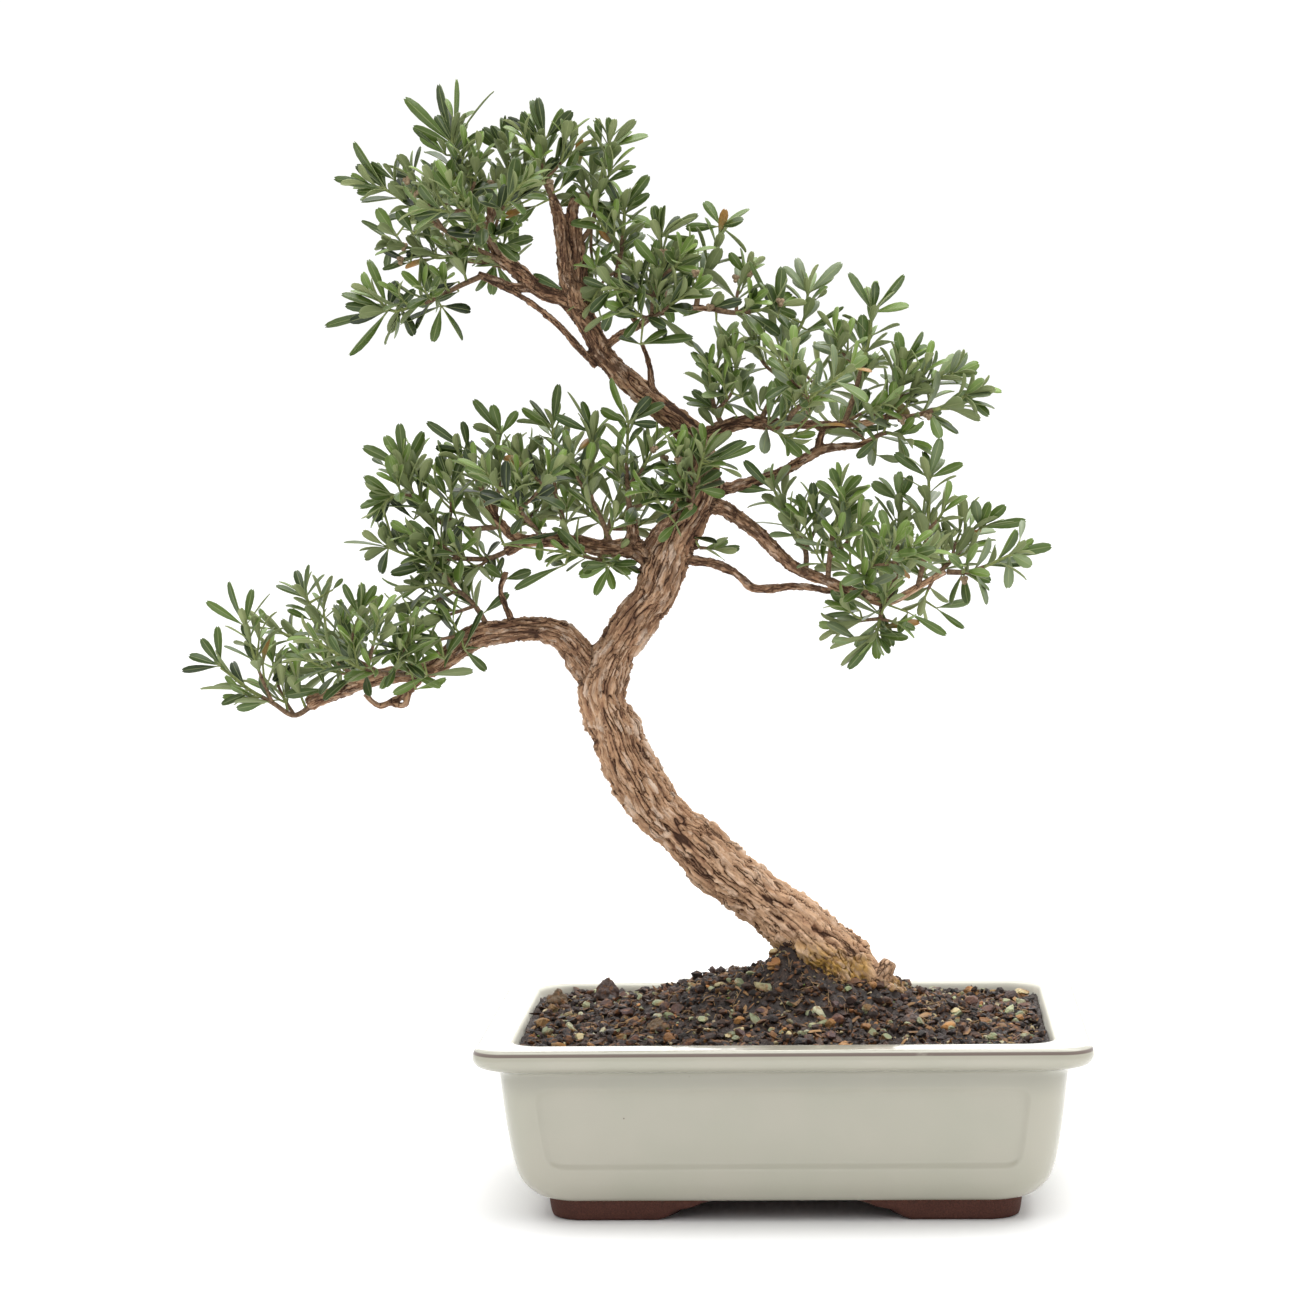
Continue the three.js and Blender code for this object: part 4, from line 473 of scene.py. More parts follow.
def seen_from_front(points: np.ndarray) -> np.ndarray:
    """Gives the x and z at which points appear in the plane of the trunk.

    Args:
        points: Rows of x, y and z in millimetres from the pot's middle.
    Returns:
        Rows of x and z.
    """
    away = 1 - points[:, 1] / EYE[1]
    x = EYE[0] + (points[:, 0] - EYE[0]) / away
    z = EYE[2] + (points[:, 2] - EYE[2]) / away
    return np.column_stack([x, z])


def unit(vectors: np.ndarray) -> np.ndarray:
    """Scales each vector to a length of one."""
    return vectors / np.maximum(np.linalg.norm(vectors, axis=-1, keepdims=True), 1e-9)


def smooth_walk(stations: np.ndarray, step: float) -> np.ndarray:
    """Runs a smooth curve through stations and walks along it in even steps.

    Args:
        stations: Rows of x, y, z and radius.
        step: The length of a step, in the stations' unit.
    Returns:
        Rows of x, y, z and radius along the curve.
    """
    points = stations[:, :3]
    knots = np.vstack([2 * points[0] - points[1], points, 2 * points[-1] - points[-2]])
    shares = np.linspace(0, 1, 10, endpoint=False)[:, None]
    rows = []
    for i in range(len(points) - 1):
        p0, p1, p2, p3 = knots[i : i + 4]
        d0, d1, d2 = (np.linalg.norm(b - a) ** 0.5 for a, b in ((p0, p1), (p1, p2), (p2, p3)))
        leaving = ((p1 - p0) / d0 - (p2 - p0) / (d0 + d1) + (p2 - p1) / d1) * d1
        arriving = ((p2 - p1) / d1 - (p3 - p1) / (d1 + d2) + (p3 - p2) / d2) * d1
        bend = -3 * p1 + 3 * p2 - 2 * leaving - arriving
        twist = 2 * p1 - 2 * p2 + leaving + arriving
        place = p1 + leaving * shares + bend * shares**2 + twist * shares**3
        radius = stations[i, 3] + (stations[i + 1, 3] - stations[i, 3]) * shares
        rows.append(np.hstack([place, radius]))
    rows.append(stations[-1:])
    dense = np.vstack(rows)
    walked = np.concatenate([[0], np.cumsum(np.linalg.norm(np.diff(dense[:, :3], axis=0), axis=1))])
    even = np.linspace(0, walked[-1], max(3, int(round(walked[-1] / step)) + 1))
    return np.column_stack([np.interp(even, walked, dense[:, i]) for i in range(4)])


def carried_frames(path: np.ndarray) -> tuple[np.ndarray, np.ndarray, np.ndarray]:
    """Carries a pair of side directions along a path without letting them spin.

    Args:
        path: Rows that start with x, y and z.
    Returns:
        The tangents and the two side directions, one row for each point.
    """
    tangents = unit(np.gradient(path[:, :3], axis=0))
    side = np.cross(tangents[0], [0.0, 1.0, 0.0])
    sides = []
    for tangent in tangents:
        side = side - tangent * (side @ tangent)
        side = side / np.linalg.norm(side)
        sides.append(side)
    sides = np.array(sides)
    return tangents, sides, np.cross(tangents, sides)


# Seeded patterns


class Pattern:
    """Seeded numbers in space, worked out for many points at once."""

    def __init__(self, seed: int) -> None:
        """Keeps the seed that every number depends on."""
        self.seed = seed

    def lattice(self, cells: np.ndarray, salt: int) -> np.ndarray:
        """Gives each cell of space a fixed number from 0 to 1.

        Args:
            cells: Rows of whole numbers.
            salt: Tells one set of numbers from another.
        Returns:
            One number for each row.
        """
        mixed = cells.astype(np.int64) @ np.array([73856093, 19349663, 83492791], np.int64)
        mixed = (mixed + (self.seed * 101 + salt) * 2654435761) & 0xFFFFFFFF
        for shift, factor in ((15, 2246822519), (13, 3266489917), (16, 668265263)):
            mixed = ((mixed ^ (mixed >> shift)) * factor) & 0xFFFFFFFF
        return (mixed ^ (mixed >> 15)) / 0xFFFFFFFF

    def cloud(self, points: np.ndarray, size: float | Sequence[float], octaves: int = 1) -> np.ndarray:
        """Makes soft clouds.

        Args:
            points: Rows of x, y and z.
            size: How far apart the clouds are, as one number or one for each axis.
            octaves: How many times a finer cloud is laid over the last.
        Returns:
            One number for each point, mostly from -1 to 1.
        """
        total = np.zeros(len(points))
        scaled = points / np.asarray(size, float)
        strength, whole = 1.0, 0.0
        for octave in range(octaves):
            cell = np.floor(scaled)
            inside = scaled - cell
            eased = inside * inside * (3 - 2 * inside)
            value = np.zeros(len(points))
            for corner in np.ndindex(2, 2, 2):
                corner = np.array(corner)
                share = np.prod(np.where(corner == 1, eased, 1 - eased), axis=1)
                value += share * self.lattice(cell + corner, octave)
            total += strength * (2 * value - 1)
            whole += strength
            strength *= 0.5
            scaled = scaled * 2.03 + 7.7
        return total / whole * 1.6

    def cells(self, points: np.ndarray, size: float | Sequence[float]) -> tuple[np.ndarray, np.ndarray]:
        """Breaks space into cells with cracks between them.

        Args:
            points: Rows of x, y and z.
            size: How large the cells are, as one number or one for each axis.
        Returns:
            How far each point is from the nearest crack, and a fixed number for the cell it is in.
        """
        scaled = points / np.asarray(size, float)
        cell = np.floor(scaled)
        nearest = np.full(len(points), 9.0)
        second = np.full(len(points), 9.0)
        mark = np.zeros(len(points))
        for step in np.ndindex(3, 3, 3):
            other = cell + np.array(step) - 1
            jitter = np.column_stack([self.lattice(other, salt) for salt in (11, 12, 13)])
            distance = np.linalg.norm(other + jitter - scaled, axis=1)
            closer = distance < nearest
            second = np.where(closer, nearest, np.minimum(second, distance))
            mark = np.where(closer, self.lattice(other, 14), mark)
            nearest = np.where(closer, distance, nearest)
        return second - nearest, mark


def ease(low: float, high: float, value: np.ndarray) -> np.ndarray:
    """Rises smoothly from 0 at low to 1 at high."""
    share = np.clip((value - low) / (high - low), 0, 1)
    return share * share * (3 - 2 * share)


# Meshes


def link_piece(name: str, mesh: bpy.types.Mesh) -> bpy.types.Object:
    """Puts a mesh into the scene as a piece at the origin.

    Args:
        name: The piece's name.
        mesh: The mesh, with its place in its vertices.
    Returns:
        The new object.
    """
    mesh.name = name
    piece = bpy.data.objects.new(name, mesh)
    bpy.context.scene.collection.objects.link(piece)
    return piece


def settled(piece: bpy.types.Object) -> bpy.types.Object:
    """Turns a piece's modifiers into plain mesh.

    Args:
        piece: The piece.
    Returns:
        The same piece.
    """
    graph = bpy.context.evaluated_depsgraph_get()
    mesh = bpy.data.meshes.new_from_object(piece.evaluated_get(graph))
    piece.modifiers.clear()
    piece.data = mesh
    return piece


def mesh_from(bm: bmesh.types.BMesh, name: str) -> bpy.types.Mesh:
    """Writes a bmesh into a new mesh and frees it.

    Args:
        bm: The bmesh.
        name: The new mesh's name.
    Returns:
        The new mesh.
    """
    mesh = bpy.data.meshes.new(name)
    bm.to_mesh(mesh)
    bm.free()
    return mesh


def vertices_of(mesh: bpy.types.Mesh) -> np.ndarray:
    """Reads a mesh's vertices.

    Args:
        mesh: The mesh.
    Returns:
        Rows of x, y and z.
    """
    flat = np.empty(len(mesh.vertices) * 3)
    mesh.vertices.foreach_get("co", flat)
    return flat.reshape(-1, 3)


def move_vertices(mesh: bpy.types.Mesh, points: np.ndarray) -> None:
    """Moves a mesh's vertices to new points."""
    mesh.vertices.foreach_set("co", np.ascontiguousarray(points).ravel())
    mesh.update()


def paint(mesh: bpy.types.Mesh, name: str, values: np.ndarray) -> None:
    """Stores up to three numbers at each vertex, for a material to read.

    Args:
        mesh: The mesh.
        name: The attribute's name.
        values: One row of one to three numbers for each vertex.
    """
    values = np.atleast_2d(values.T).T
    rgba = np.ones((len(mesh.vertices), 4), np.float32)
    rgba[:, : values.shape[1]] = values
    layer = mesh.attributes.new(name, "FLOAT_COLOR", "POINT")
    layer.data.foreach_set("color", rgba.ravel())


def tubes(paths: Iterable[np.ndarray], sides: int) -> bpy.types.Mesh:
    """Sweeps a round section along each path.

    Args:
        paths: Rows of x, y, z and radius in metres, for each path.
        sides: How many sides the section has, an even number from 4.
    Returns:
        One mesh of closed tubes.
    """
    curve = bpy.data.curves.new("paths", "CURVE")
    curve.dimensions = "3D"
    curve.bevel_depth = 1.0
    curve.bevel_resolution = (sides - 4) // 2
    curve.use_fill_caps = True
    for path in paths:
        spline = curve.splines.new("POLY")
        spline.points.add(len(path) - 1)
        spline.points.foreach_set("co", np.column_stack([path[:, :3], np.ones(len(path))]).ravel())
        spline.points.foreach_set("radius", path[:, 3])
    holder = bpy.data.objects.new("paths", curve)
    bpy.context.scene.collection.objects.link(holder)
    graph = bpy.context.evaluated_depsgraph_get()
    mesh = bpy.data.meshes.new_from_object(holder.evaluated_get(graph))
    bpy.data.objects.remove(holder)
    bm = bmesh.new()
    bm.from_mesh(mesh)
    bmesh.ops.remove_doubles(bm, verts=bm.verts, dist=1e-6)
    bmesh.ops.recalc_face_normals(bm, faces=bm.faces)
    bm.to_mesh(mesh)
    bm.free()
    return mesh


def stamped(blank: bpy.types.Mesh, count: int) -> bpy.types.Mesh:
    """Copies a blank many times into one mesh, its vertices in order.

    Args:
        blank: The mesh to copy.
        count: How many copies there are.
    Returns:
        The new mesh.
    """
    bm = bmesh.new()
    for _ in range(count):
        bm.from_mesh(blank)
    return mesh_from(bm, "stamped")


def place_verts(verts: Iterable[bmesh.types.BMVert], points: np.ndarray) -> None:
    """Moves vertices to points that are measured in millimetres from the pot's middle."""
    for vert, point in zip(verts, in_frame(points)):
        vert.co = Vector(point)


def next_ring(
    bm: bmesh.types.BMesh, edges: list[bmesh.types.BMEdge], order: list[bmesh.types.BMVert]
) -> tuple[list[bmesh.types.BMEdge], list[bmesh.types.BMVert]]:
    """Extrudes a ring of edges.

    Args:
        bm: The mesh that is being built.
        edges: The ring's edges.
        order: The ring's vertices, in order.
    Returns:
        The new ring's edges, and its vertices in the same order.
    """
    grown = bmesh.ops.extrude_edge_only(bm, edges=edges)["geom"]
    new = [item for item in grown if isinstance(item, bmesh.types.BMVert)]
    follows = {edge.other_vert(vert): vert for vert in new for edge in vert.link_edges}
    edges = [item for item in grown if isinstance(item, bmesh.types.BMEdge)]
    return edges, [follows[vert] for vert in order]


def dressed(
    piece: bpy.types.Object, looks: Sequence[bpy.types.Material], node: str | None = None
) -> bpy.types.Object:
    """Gives a piece its materials, and says which body carries it and what it stands in for.

    Args:
        piece: The piece.
        looks: Its materials, in order.
        node: The frame's node that it replaces, where there is one.
    Returns:
        The same piece.
    """
    for look in looks:
        piece.data.materials.append(look)
    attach(piece, BODY)
    if node:
        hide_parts(node)
    return piece


# Shader maths


class Socket:
    """A shader value that Python arithmetic builds on."""

    def __init__(self, shader: NodeTree, socket: bpy.types.NodeSocket) -> None:
        """Keeps the socket and the shader that it belongs to."""
        self.shader = shader
        self.socket = socket

    def maths(self, operation: str, *values: Socket | float) -> Socket:
        """Adds a Math node."""
        return self.shader.node("ShaderNodeMath", {"operation": operation}, dict(enumerate(values)))

    def __add__(self, other: Socket | float) -> Socket:
        """Adds."""
        return self.maths("ADD", self, other)

    def __sub__(self, other: Socket | float) -> Socket:
        """Subtracts."""
        return self.maths("SUBTRACT", self, other)

    def __rsub__(self, other: float) -> Socket:
        """Subtracts this from a number."""
        return self.maths("SUBTRACT", other, self)

    def __mul__(self, other: Socket | float) -> Socket:
        """Multiplies."""
        return self.maths("MULTIPLY", self, other)

    __radd__ = __add__
    __rmul__ = __mul__

    def magnitude(self) -> Socket:
        """Drops the sign."""
        return self.maths("ABSOLUTE", self)

    def greater(self, other: Socket | float) -> Socket:
        """Takes the greater of two values."""
        return self.maths("MAXIMUM", self, other)

    def rise(self, low: float, high: float) -> Socket:
        """Rises smoothly from 0 to 1, or falls where low is the greater.

        Args:
            low: Where it is 0.
            high: Where it is 1.
        Returns:
            The eased value.
        """
        settings = {"interpolation_type": "SMOOTHSTEP"}
        if low > high:
            return 1 - self.rise(high, low)
        return self.shader.node("ShaderNodeMapRange", settings, {0: self, 1: low, 2: high})


class NodeTree:
    """A tree of shader nodes."""

    def __init__(self, tree: bpy.types.NodeTree) -> None:
        """Keeps the tree that nodes are added to."""
        self.tree = tree

    def node(
        self, kind: str, settings: dict | None = None, inputs: dict | None = None, output: int | str = 0
    ) -> Socket:
        """Adds a node.

        Args:
            kind: The node's type.
            settings: Its properties, and the stops of a ramp.
            inputs: A value or a link for each socket, by name or number.
            output: The output that is wanted.
        Returns:
            That output.
        """
        made = self.tree.nodes.new(kind)
        for key, value in (settings or {}).items():
            if key == "stops":
                ramp = made.color_ramp.elements
                while len(ramp) < len(value):
                    ramp.new(1.0)
                for stop, (position, color) in zip(ramp, value):
                    stop.position = position
                    stop.color = color
            else:
                setattr(made, key, value)
        for key, value in (inputs or {}).items():
            if isinstance(value, Socket):
                self.tree.links.new(value.socket, made.inputs[key])
            else:
                made.inputs[key].default_value = value
        return Socket(self, made.outputs[output])

    def parts(self, vector: Socket) -> list[Socket]:
        """Splits a vector into its three numbers."""
        return [self.node("ShaderNodeSeparateXYZ", inputs={0: vector}, output=i) for i in range(3)]


class Shader(NodeTree):
    """The node tree of one material, ending in one principled surface."""

    def __init__(self, name: str, **constants: float | tuple) -> None:
        """Starts a material.

        Args:
            name: The material's name.
            constants: Values that are the same all over, by socket name with _ for each space.
        """
        self.material = bpy.data.materials.new(name)
        self.material.use_nodes = True
        super().__init__(self.material.node_tree)
        self.surface = self.tree.nodes["Principled BSDF"]
        for socket, value in constants.items():
            self.surface.inputs[socket.replace("_", " ")].default_value = value

    def attribute(self, name: str) -> list[Socket]:
        """Reads the three numbers that a mesh stores under a name."""
        return self.parts(self.node("ShaderNodeAttribute", {"attribute_name": name}, output="Vector"))

    def object_place(self) -> Socket:
        """Reads the place on the object, in metres."""
        return self.node("ShaderNodeTexCoord", output="Object")

    def noise(
        self,
        place: Socket,
        scale: float,
        stretch: tuple[float, float, float] = (1, 1, 1),
        detail: float = 3.0,
        roughness: float = 0.55,
    ) -> Socket:
        """Makes noise from 0 to 1.

        Args:
            place: Where it is read.
            scale: How many clouds there are in a metre.
            stretch: Scales each axis further.
            detail: How many finer layers it has.
            roughness: How strong they are.
        Returns:
            The noise.
        """
        mapped = self.node("ShaderNodeMapping", inputs={"Vector": place, "Scale": stretch})
        inputs = {"Vector": mapped, "Scale": scale, "Detail": detail, "Roughness": roughness}
        return self.node("ShaderNodeTexNoise", inputs=inputs)

    def ramp(self, value: Socket, *stops: tuple[float, str]) -> Socket:
        """Turns a value into a colour.

        Args:
            value: A number from 0 to 1.
            stops: The place and colour of each stop.
        Returns:
            The colour.
        """
        listed = [(place, color_of(name)) for place, name in stops]
        return self.node("ShaderNodeValToRGB", {"stops": listed}, {0: value})

    def mix(
        self, share: Socket | float, first: Socket | str, second: Socket | str, blend: str = "MIX"
    ) -> Socket:
        """Mixes two colours.

        Args:
            share: How much of the second colour there is.
            first: A colour, as a socket or as hexadecimal digits.
            second: The other colour.
            blend: How the two are blended.
        Returns:
            The mixed colour.
        """
        first, second = (color_of(c) if isinstance(c, str) else c for c in (first, second))
        settings = {"data_type": "RGBA", "blend_type": blend, "clamp_factor": True}
        return self.node("ShaderNodeMix", settings, {0: share, 6: first, 7: second}, output=2)

    def finish(
        self, bump: Socket | None = None, depth: float = 0.001, **links: Socket
    ) -> bpy.types.Material:
        """Links what varies to the surface.

        Args:
            bump: A height from 0 to 1.
            depth: How high 1 stands, in metres.
            links: A value for each named socket, with _ for each space.
        Returns:
            The finished material.
        """
        if bump is not None:
            links["Normal"] = self.node("ShaderNodeBump", inputs={"Height": bump, "Distance": depth})
        for socket, value in links.items():
            self.tree.links.new(value.socket, self.surface.inputs[socket.replace("_", " ")])
        return self.material


def color_of(digits: str) -> tuple[float, float, float, float]:
    """Turns a colour's hexadecimal digits into linear light.

    Args:
        digits: Two digits each for red, green and blue.
    Returns:
        Red, green and blue from 0 to 1, and 1 for opaque.
    """
    values = [int(digits[i : i + 2], 16) / 255 for i in (0, 2, 4)]
    linear = [v / 12.92 if v <= 0.04045 else ((v + 0.055) / 1.055) ** 2.4 for v in values]
    return (*linear, 1.0)


# Finishes


@dataclass(frozen=True)
class BarkFinish:
    """Corky bark: pale tan plates, dark crevices, and a moss stain at the foot, with painted shade higher up
    and on thin limbs and painted light on the plates low on the trunk.
    """

    ridge: str = "ebd1ba"
    plate: str = "c29a77"
    middle: str = "9b745a"
    crevice: str = "3a261c"
    # foot is painted light on the plates low on the trunk; old is painted shade higher up and on thin limbs
    foot: str = "eac29f"
    old: str = "604634"
    moss: str = "cca04c"
    algae: str = "8b7434"

    def material(self) -> bpy.types.Material:
        """Builds the material.

        Returns:
            The material, which reads the attributes bark, cracks and grain, and the attribute of painted
            shade and light by height.
        """
        shader = Shader("bark", Roughness=0.9, Specular_IOR_Level=0.25)
        height, tone, moss = shader.attribute("bark")
        long, short, thin = shader.attribute("cracks")
        age, low, _ = shader.attribute("age")
        grain = shader.node("ShaderNodeAttribute", {"attribute_name": "grain"}, output="Vector")
        fibre = shader.noise(grain, 900, (1, 1, 0.14), detail=4, roughness=0.65)
        speck = shader.noise(grain, 480, (1, 1, 0.45), detail=3)
        streak = shader.noise(grain, 330, (1, 1, 0.12), detail=4, roughness=0.65)
        hair = (streak - 0.5).magnitude().rise(0.035, 0.0)
        crack = long.magnitude().rise(0.1, 0.03).greater(short.magnitude().rise(0.11, 0.03))
        crack = crack.greater(0.75 * thin.magnitude().rise(0.13, 0.03))
        body = shader.ramp(
            height * 0.66 + fibre * 0.55 - 0.2,
            (0.0, "7a5743"), (0.22, self.middle), (0.45, self.plate), (0.8, self.ridge),
        )
        toned = shader.mix(tone.rise(0.5, 1.0) * 0.22, body, "8f7767")
        warm = shader.mix(speck.rise(0.48, 0.72) * 0.35, toned, "cfa583")
        dark = shader.mix(fibre.rise(0.42, 0.28) * 0.5, warm, "5d4133")
        dark = shader.mix(hair * 0.4, dark, "6a4c3b")
        # Painted light: the plates low on the trunk turn paler and pinker.
        rosy = shader.mix(low * (height * 0.6), dark, self.foot)
        shade_patches = 0.26 + 0.68 * speck.rise(0.6, 0.4)
        # Painted shade: darker higher up the trunk and on thin limbs, in patches.
        old = shader.mix(age.rise(0.1, 1.0) * shade_patches, rosy, self.old)
        split = shader.mix(crack * 0.86, old, self.crevice)
        growth = shader.mix(speck.rise(0.4, 0.6), self.algae, self.moss)
        green = shader.mix(moss * (0.3 + 0.7 * speck.rise(0.35, 0.6)) * 0.8, split, growth)
        rough = 0.78 + 0.2 * fibre
        grooves = fibre * 0.3 + speck * 0.2 - hair * 0.15 - crack * 0.5 + 0.5
        return shader.finish(grooves, 0.0012, Base_Color=green, Roughness=rough)


@dataclass(frozen=True)
class LeafFinish:
    """A leathery leaf: glossy above with a pale midrib and rim, dull and paler below, and a painted silvery
    sheen on the lightest leaves.
    """

    old: str = "1a290c"
    grown: str = "4b6325"
    young: str = "7c9742"
    under: str = "6f7b4d"
    vein: str = "a5ad76"
    spent: str = "a0763a"

    def material(self) -> bpy.types.Material:
        """Builds the material.

        Returns:
            The material, which reads the attributes blade and tint.
        """
        shader = Shader("leaf", Specular_IOR_Level=0.5)
        along, across, side = shader.attribute("blade")
        tone, youth, spent = shader.attribute("tint")
        blotch = shader.noise(shader.object_place(), 260, detail=2)
        off_middle = (across - 0.5).magnitude() * 2
        top = shader.mix(tone, self.old, self.grown)
        # Painted sheen: the lightest tones turn a silvery grey.
        top = shader.mix(tone.rise(0.85, 1.4) * 0.75, top, "929b83")
        top = shader.mix(blotch.rise(0.3, 0.8) * 0.12, top, "5a702f")
        top = shader.mix(youth, top, self.young)
        rib = off_middle.rise(0.13, 0.03) * (1 - along * 0.6) * 0.75
        rim = off_middle.rise(0.9, 1.0) * 0.65
        stalk = along.rise(0.22, 0.06)
        top = shader.mix(rib.greater(rim).greater(stalk), top, self.vein)
        under = shader.mix(youth * 0.6 + rib * 0.5, self.under, self.vein)
        color = shader.mix(side.rise(0.4, 0.6), under, top)
        color = shader.mix(spent * (along * 0.7 + blotch * 0.5).rise(0.35, 0.75), color, self.spent)
        rough = 0.58 - 0.26 * side + 0.1 * blotch
        veins = rib * 0.5 + blotch * 0.5
        return shader.finish(veins, 0.0003, Base_Color=color, Roughness=rough)


@dataclass(frozen=True)
class ShootFinish:
    """The skin of a young shoot or a twig."""

    name: str
    light: str
    dark: str
    grain: float = 500.0

    def material(self) -> bpy.types.Material:
        """Builds the material.

        Returns:
            The material.
        """
        shader = Shader(self.name, Specular_IOR_Level=0.3)
        place = shader.object_place()
        streak = shader.noise(place, self.grain, detail=4)
        color = shader.ramp(streak, (0.3, self.dark), (0.7, self.light))
        return shader.finish(streak, 0.0005, Base_Color=color, Roughness=0.6 + 0.3 * streak)


GREEN_SHOOT = ShootFinish("green_shoot", "97a062", "667040")
WOODY_TWIG = ShootFinish("woody_twig", "8f7459", "4b382b", 700.0)
CAPSULE = ShootFinish("seed_capsule", "b9a183", "6d5843", 900.0)
ROOT_FIBRE = ShootFinish("root_fibre", "b8986e", "5a4331", 600.0)


@dataclass(frozen=True)
class GlazeFinish:
    """Cream celadon glaze over brown clay: it thins to brown on sharp edges and ends above the feet."""

    glaze: str = "b2ae9f"
    pooled: str = "adab9b"
    edge: str = "5a453f"
    clay: str = "5c3a30"

    def material(self) -> bpy.types.Material:
        """Builds the material.

        Returns:
            The material, which reads the attribute wear: how sharp an edge is, how bare, and the painted
            shading, which is painted shade just below the rim's lip where it is above 0 and painted light on
            the inner walls where it is below 0.
        """
        shader = Shader("pot_glaze", IOR=1.5, Coat_IOR=1.5, Coat_Roughness=0.08)
        sharp, bare, thick = shader.attribute("wear")
        place = shader.object_place()
        drift = shader.noise(place, 18, detail=2)
        patch = shader.noise(place, 45, (1, 1, 2.5), detail=4)
        fine = shader.noise(place, 900, detail=2)
        body = shader.mix(drift.rise(0.35, 0.7), self.glaze, self.pooled)
        # Painted shade: a grey band on the wall just below the rim's lip, where the third number of wear is
        # above 0.
        body = shader.mix(thick.greater(0) * 0.5, body, "8a897e")
        # Painted light: the inner walls above the soil are paled towards white, and made matt with no coat,
        # where the third number of wear is below 0.
        inner = thick.rise(-0.2, -0.8)
        body = shader.mix(inner, body, "dedccf")
        worn = sharp.rise(0.5, 0.8) * patch.rise(0.15, 0.35) * 0.85
        body = shader.mix(worn, body, self.edge)
        cells = {"Vector": place, "Scale": 62.0, "Randomness": 1.0}
        dots, chosen = (
            shader.node("ShaderNodeTexVoronoi", {"feature": "F1"}, cells, output)
            for output in ("Distance", "Color")
        )
        chance = shader.node("ShaderNodeSeparateXYZ", inputs={0: chosen})
        speck = dots.rise(0.028, 0.014) * chance.rise(0.6, 0.62)
        body = shader.mix(speck * 0.8, body, "4a3a30")
        color = shader.mix(bare, body, self.clay)
        rough = 0.2 + 0.62 * bare + 0.45 * inner + 0.12 * worn + 0.05 * fine
        ripple = drift * 0.7 + fine * 0.02
        coat = 0.6 - 0.6 * bare.greater(inner)
        return shader.finish(ripple, 0.0012, Base_Color=color, Roughness=rough, Coat_Weight=coat)


@dataclass(frozen=True)
class ClayFinish:
    """Bare reddish brown clay with a fine sandy grain."""

    dark: str = "3e231c"
    light: str = "643d32"

    def material(self) -> bpy.types.Material:
        """Builds the material.

        Returns:
            The material.
        """
        shader = Shader("bare_clay", Specular_IOR_Level=0.3)
        place = shader.object_place()
        cloud = shader.noise(place, 60, detail=4)
        sand = shader.noise(place, 1400, detail=3)
        color = shader.mix(sand.rise(0.3, 0.75) * 0.6 + cloud * 0.4, self.dark, self.light)
        return shader.finish(sand, 0.0003, Base_Color=color, Roughness=0.66 + 0.22 * sand)


@dataclass(frozen=True)
class SoilFinish:
    """Dark damp peat with paler crumbs on its crests, and painted silvery glints in its wet patches."""

    deep: str = "140d0a"
    crumb: str = "604a3c"

    def material(self) -> bpy.types.Material:
        """Builds the material.

        Returns:
            The material, which reads the attribute crumb.
        """
        shader = Shader("potting_soil", Specular_IOR_Level=0.6)
        height, dry, _ = shader.attribute("crumb")
        place = shader.object_place()
        grit = shader.noise(place, 900, detail=5, roughness=0.65)
        patch = shader.noise(place, 90, detail=3)
        body = shader.ramp(
            height * 0.55 + grit * 0.6 - 0.12, (0.1, self.deep), (0.5, "34251e"), (0.92, self.crumb)
        )
        body = shader.mix(patch.rise(0.52, 0.75) * 0.5, body, "4a2c22")
        body = shader.mix(dry * grit.rise(0.55, 0.7) * 0.6, body, "8f7d66")
        # Painted highlight: silvery glints on the grit's crests in the wet patches.
        body = shader.mix(grit.rise(0.66, 0.72) * patch.rise(0.35, 0.6) * 0.8, body, "b9b3ac")
        rough = 0.46 + 0.42 * grit - patch.rise(0.45, 0.6) * 0.28
        return shader.finish(grit, 0.0012, Base_Color=body, Roughness=rough)


@dataclass(frozen=True)
class StoneFinish:
    """Stone whose colour comes from the mesh, with a weathered, dusty skin."""

    def material(self) -> bpy.types.Material:
        """Builds the material.

        Returns:
            The material, which reads the attribute hue.
        """
        shader = Shader("grit", Specular_IOR_Level=0.55)
        hue = shader.node("ShaderNodeAttribute", {"attribute_name": "hue"}, output="Color")
        place = shader.object_place()
        grain = shader.noise(place, 1100, detail=4)
        stain = shader.noise(place, 330, detail=3)
        color = shader.mix(grain.rise(0.35, 0.7) * 0.45, hue, "c9bb94", "SOFT_LIGHT")
        color = shader.mix(stain.rise(0.52, 0.66) * 0.6, color, "8f5d30")
        color = shader.mix(stain.rise(0.4, 0.25) * 0.5, color, "2b211a")
        rough = 0.52 + 0.4 * grain - shader.noise(place, 70, detail=2).rise(0.5, 0.62) * 0.22
        return shader.finish(grain, 0.0007, Base_Color=color, Roughness=rough)


@dataclass(frozen=True)
class ScreenFinish:
    """Black moulded plastic with a faint grain."""

    def material(self) -> bpy.types.Material:
        """Builds the material.

        Returns:
            The material.
        """
        shader = Shader("screen_plastic")
        grain = shader.noise(shader.object_place(), 2500, detail=2)
        color = shader.mix(grain, "17181a", "26282a")
        return shader.finish(grain, 0.0001, Base_Color=color, Roughness=0.45 + 0.25 * grain)


@dataclass(frozen=True)
class WireFinish:
    """Dull aluminium wire with drawing marks."""

    def material(self) -> bpy.types.Material:
        """Builds the material.

        Returns:
            The material.
        """
        shader = Shader("clip_wire", Metallic=1.0)
        marks = shader.noise(shader.object_place(), 1800, detail=3)
        color = shader.mix(marks, "8d8f92", "b9bbbd")
        return shader.finish(marks, 0.0001, Base_Color=color, Roughness=0.3 + 0.2 * marks)


# Pot


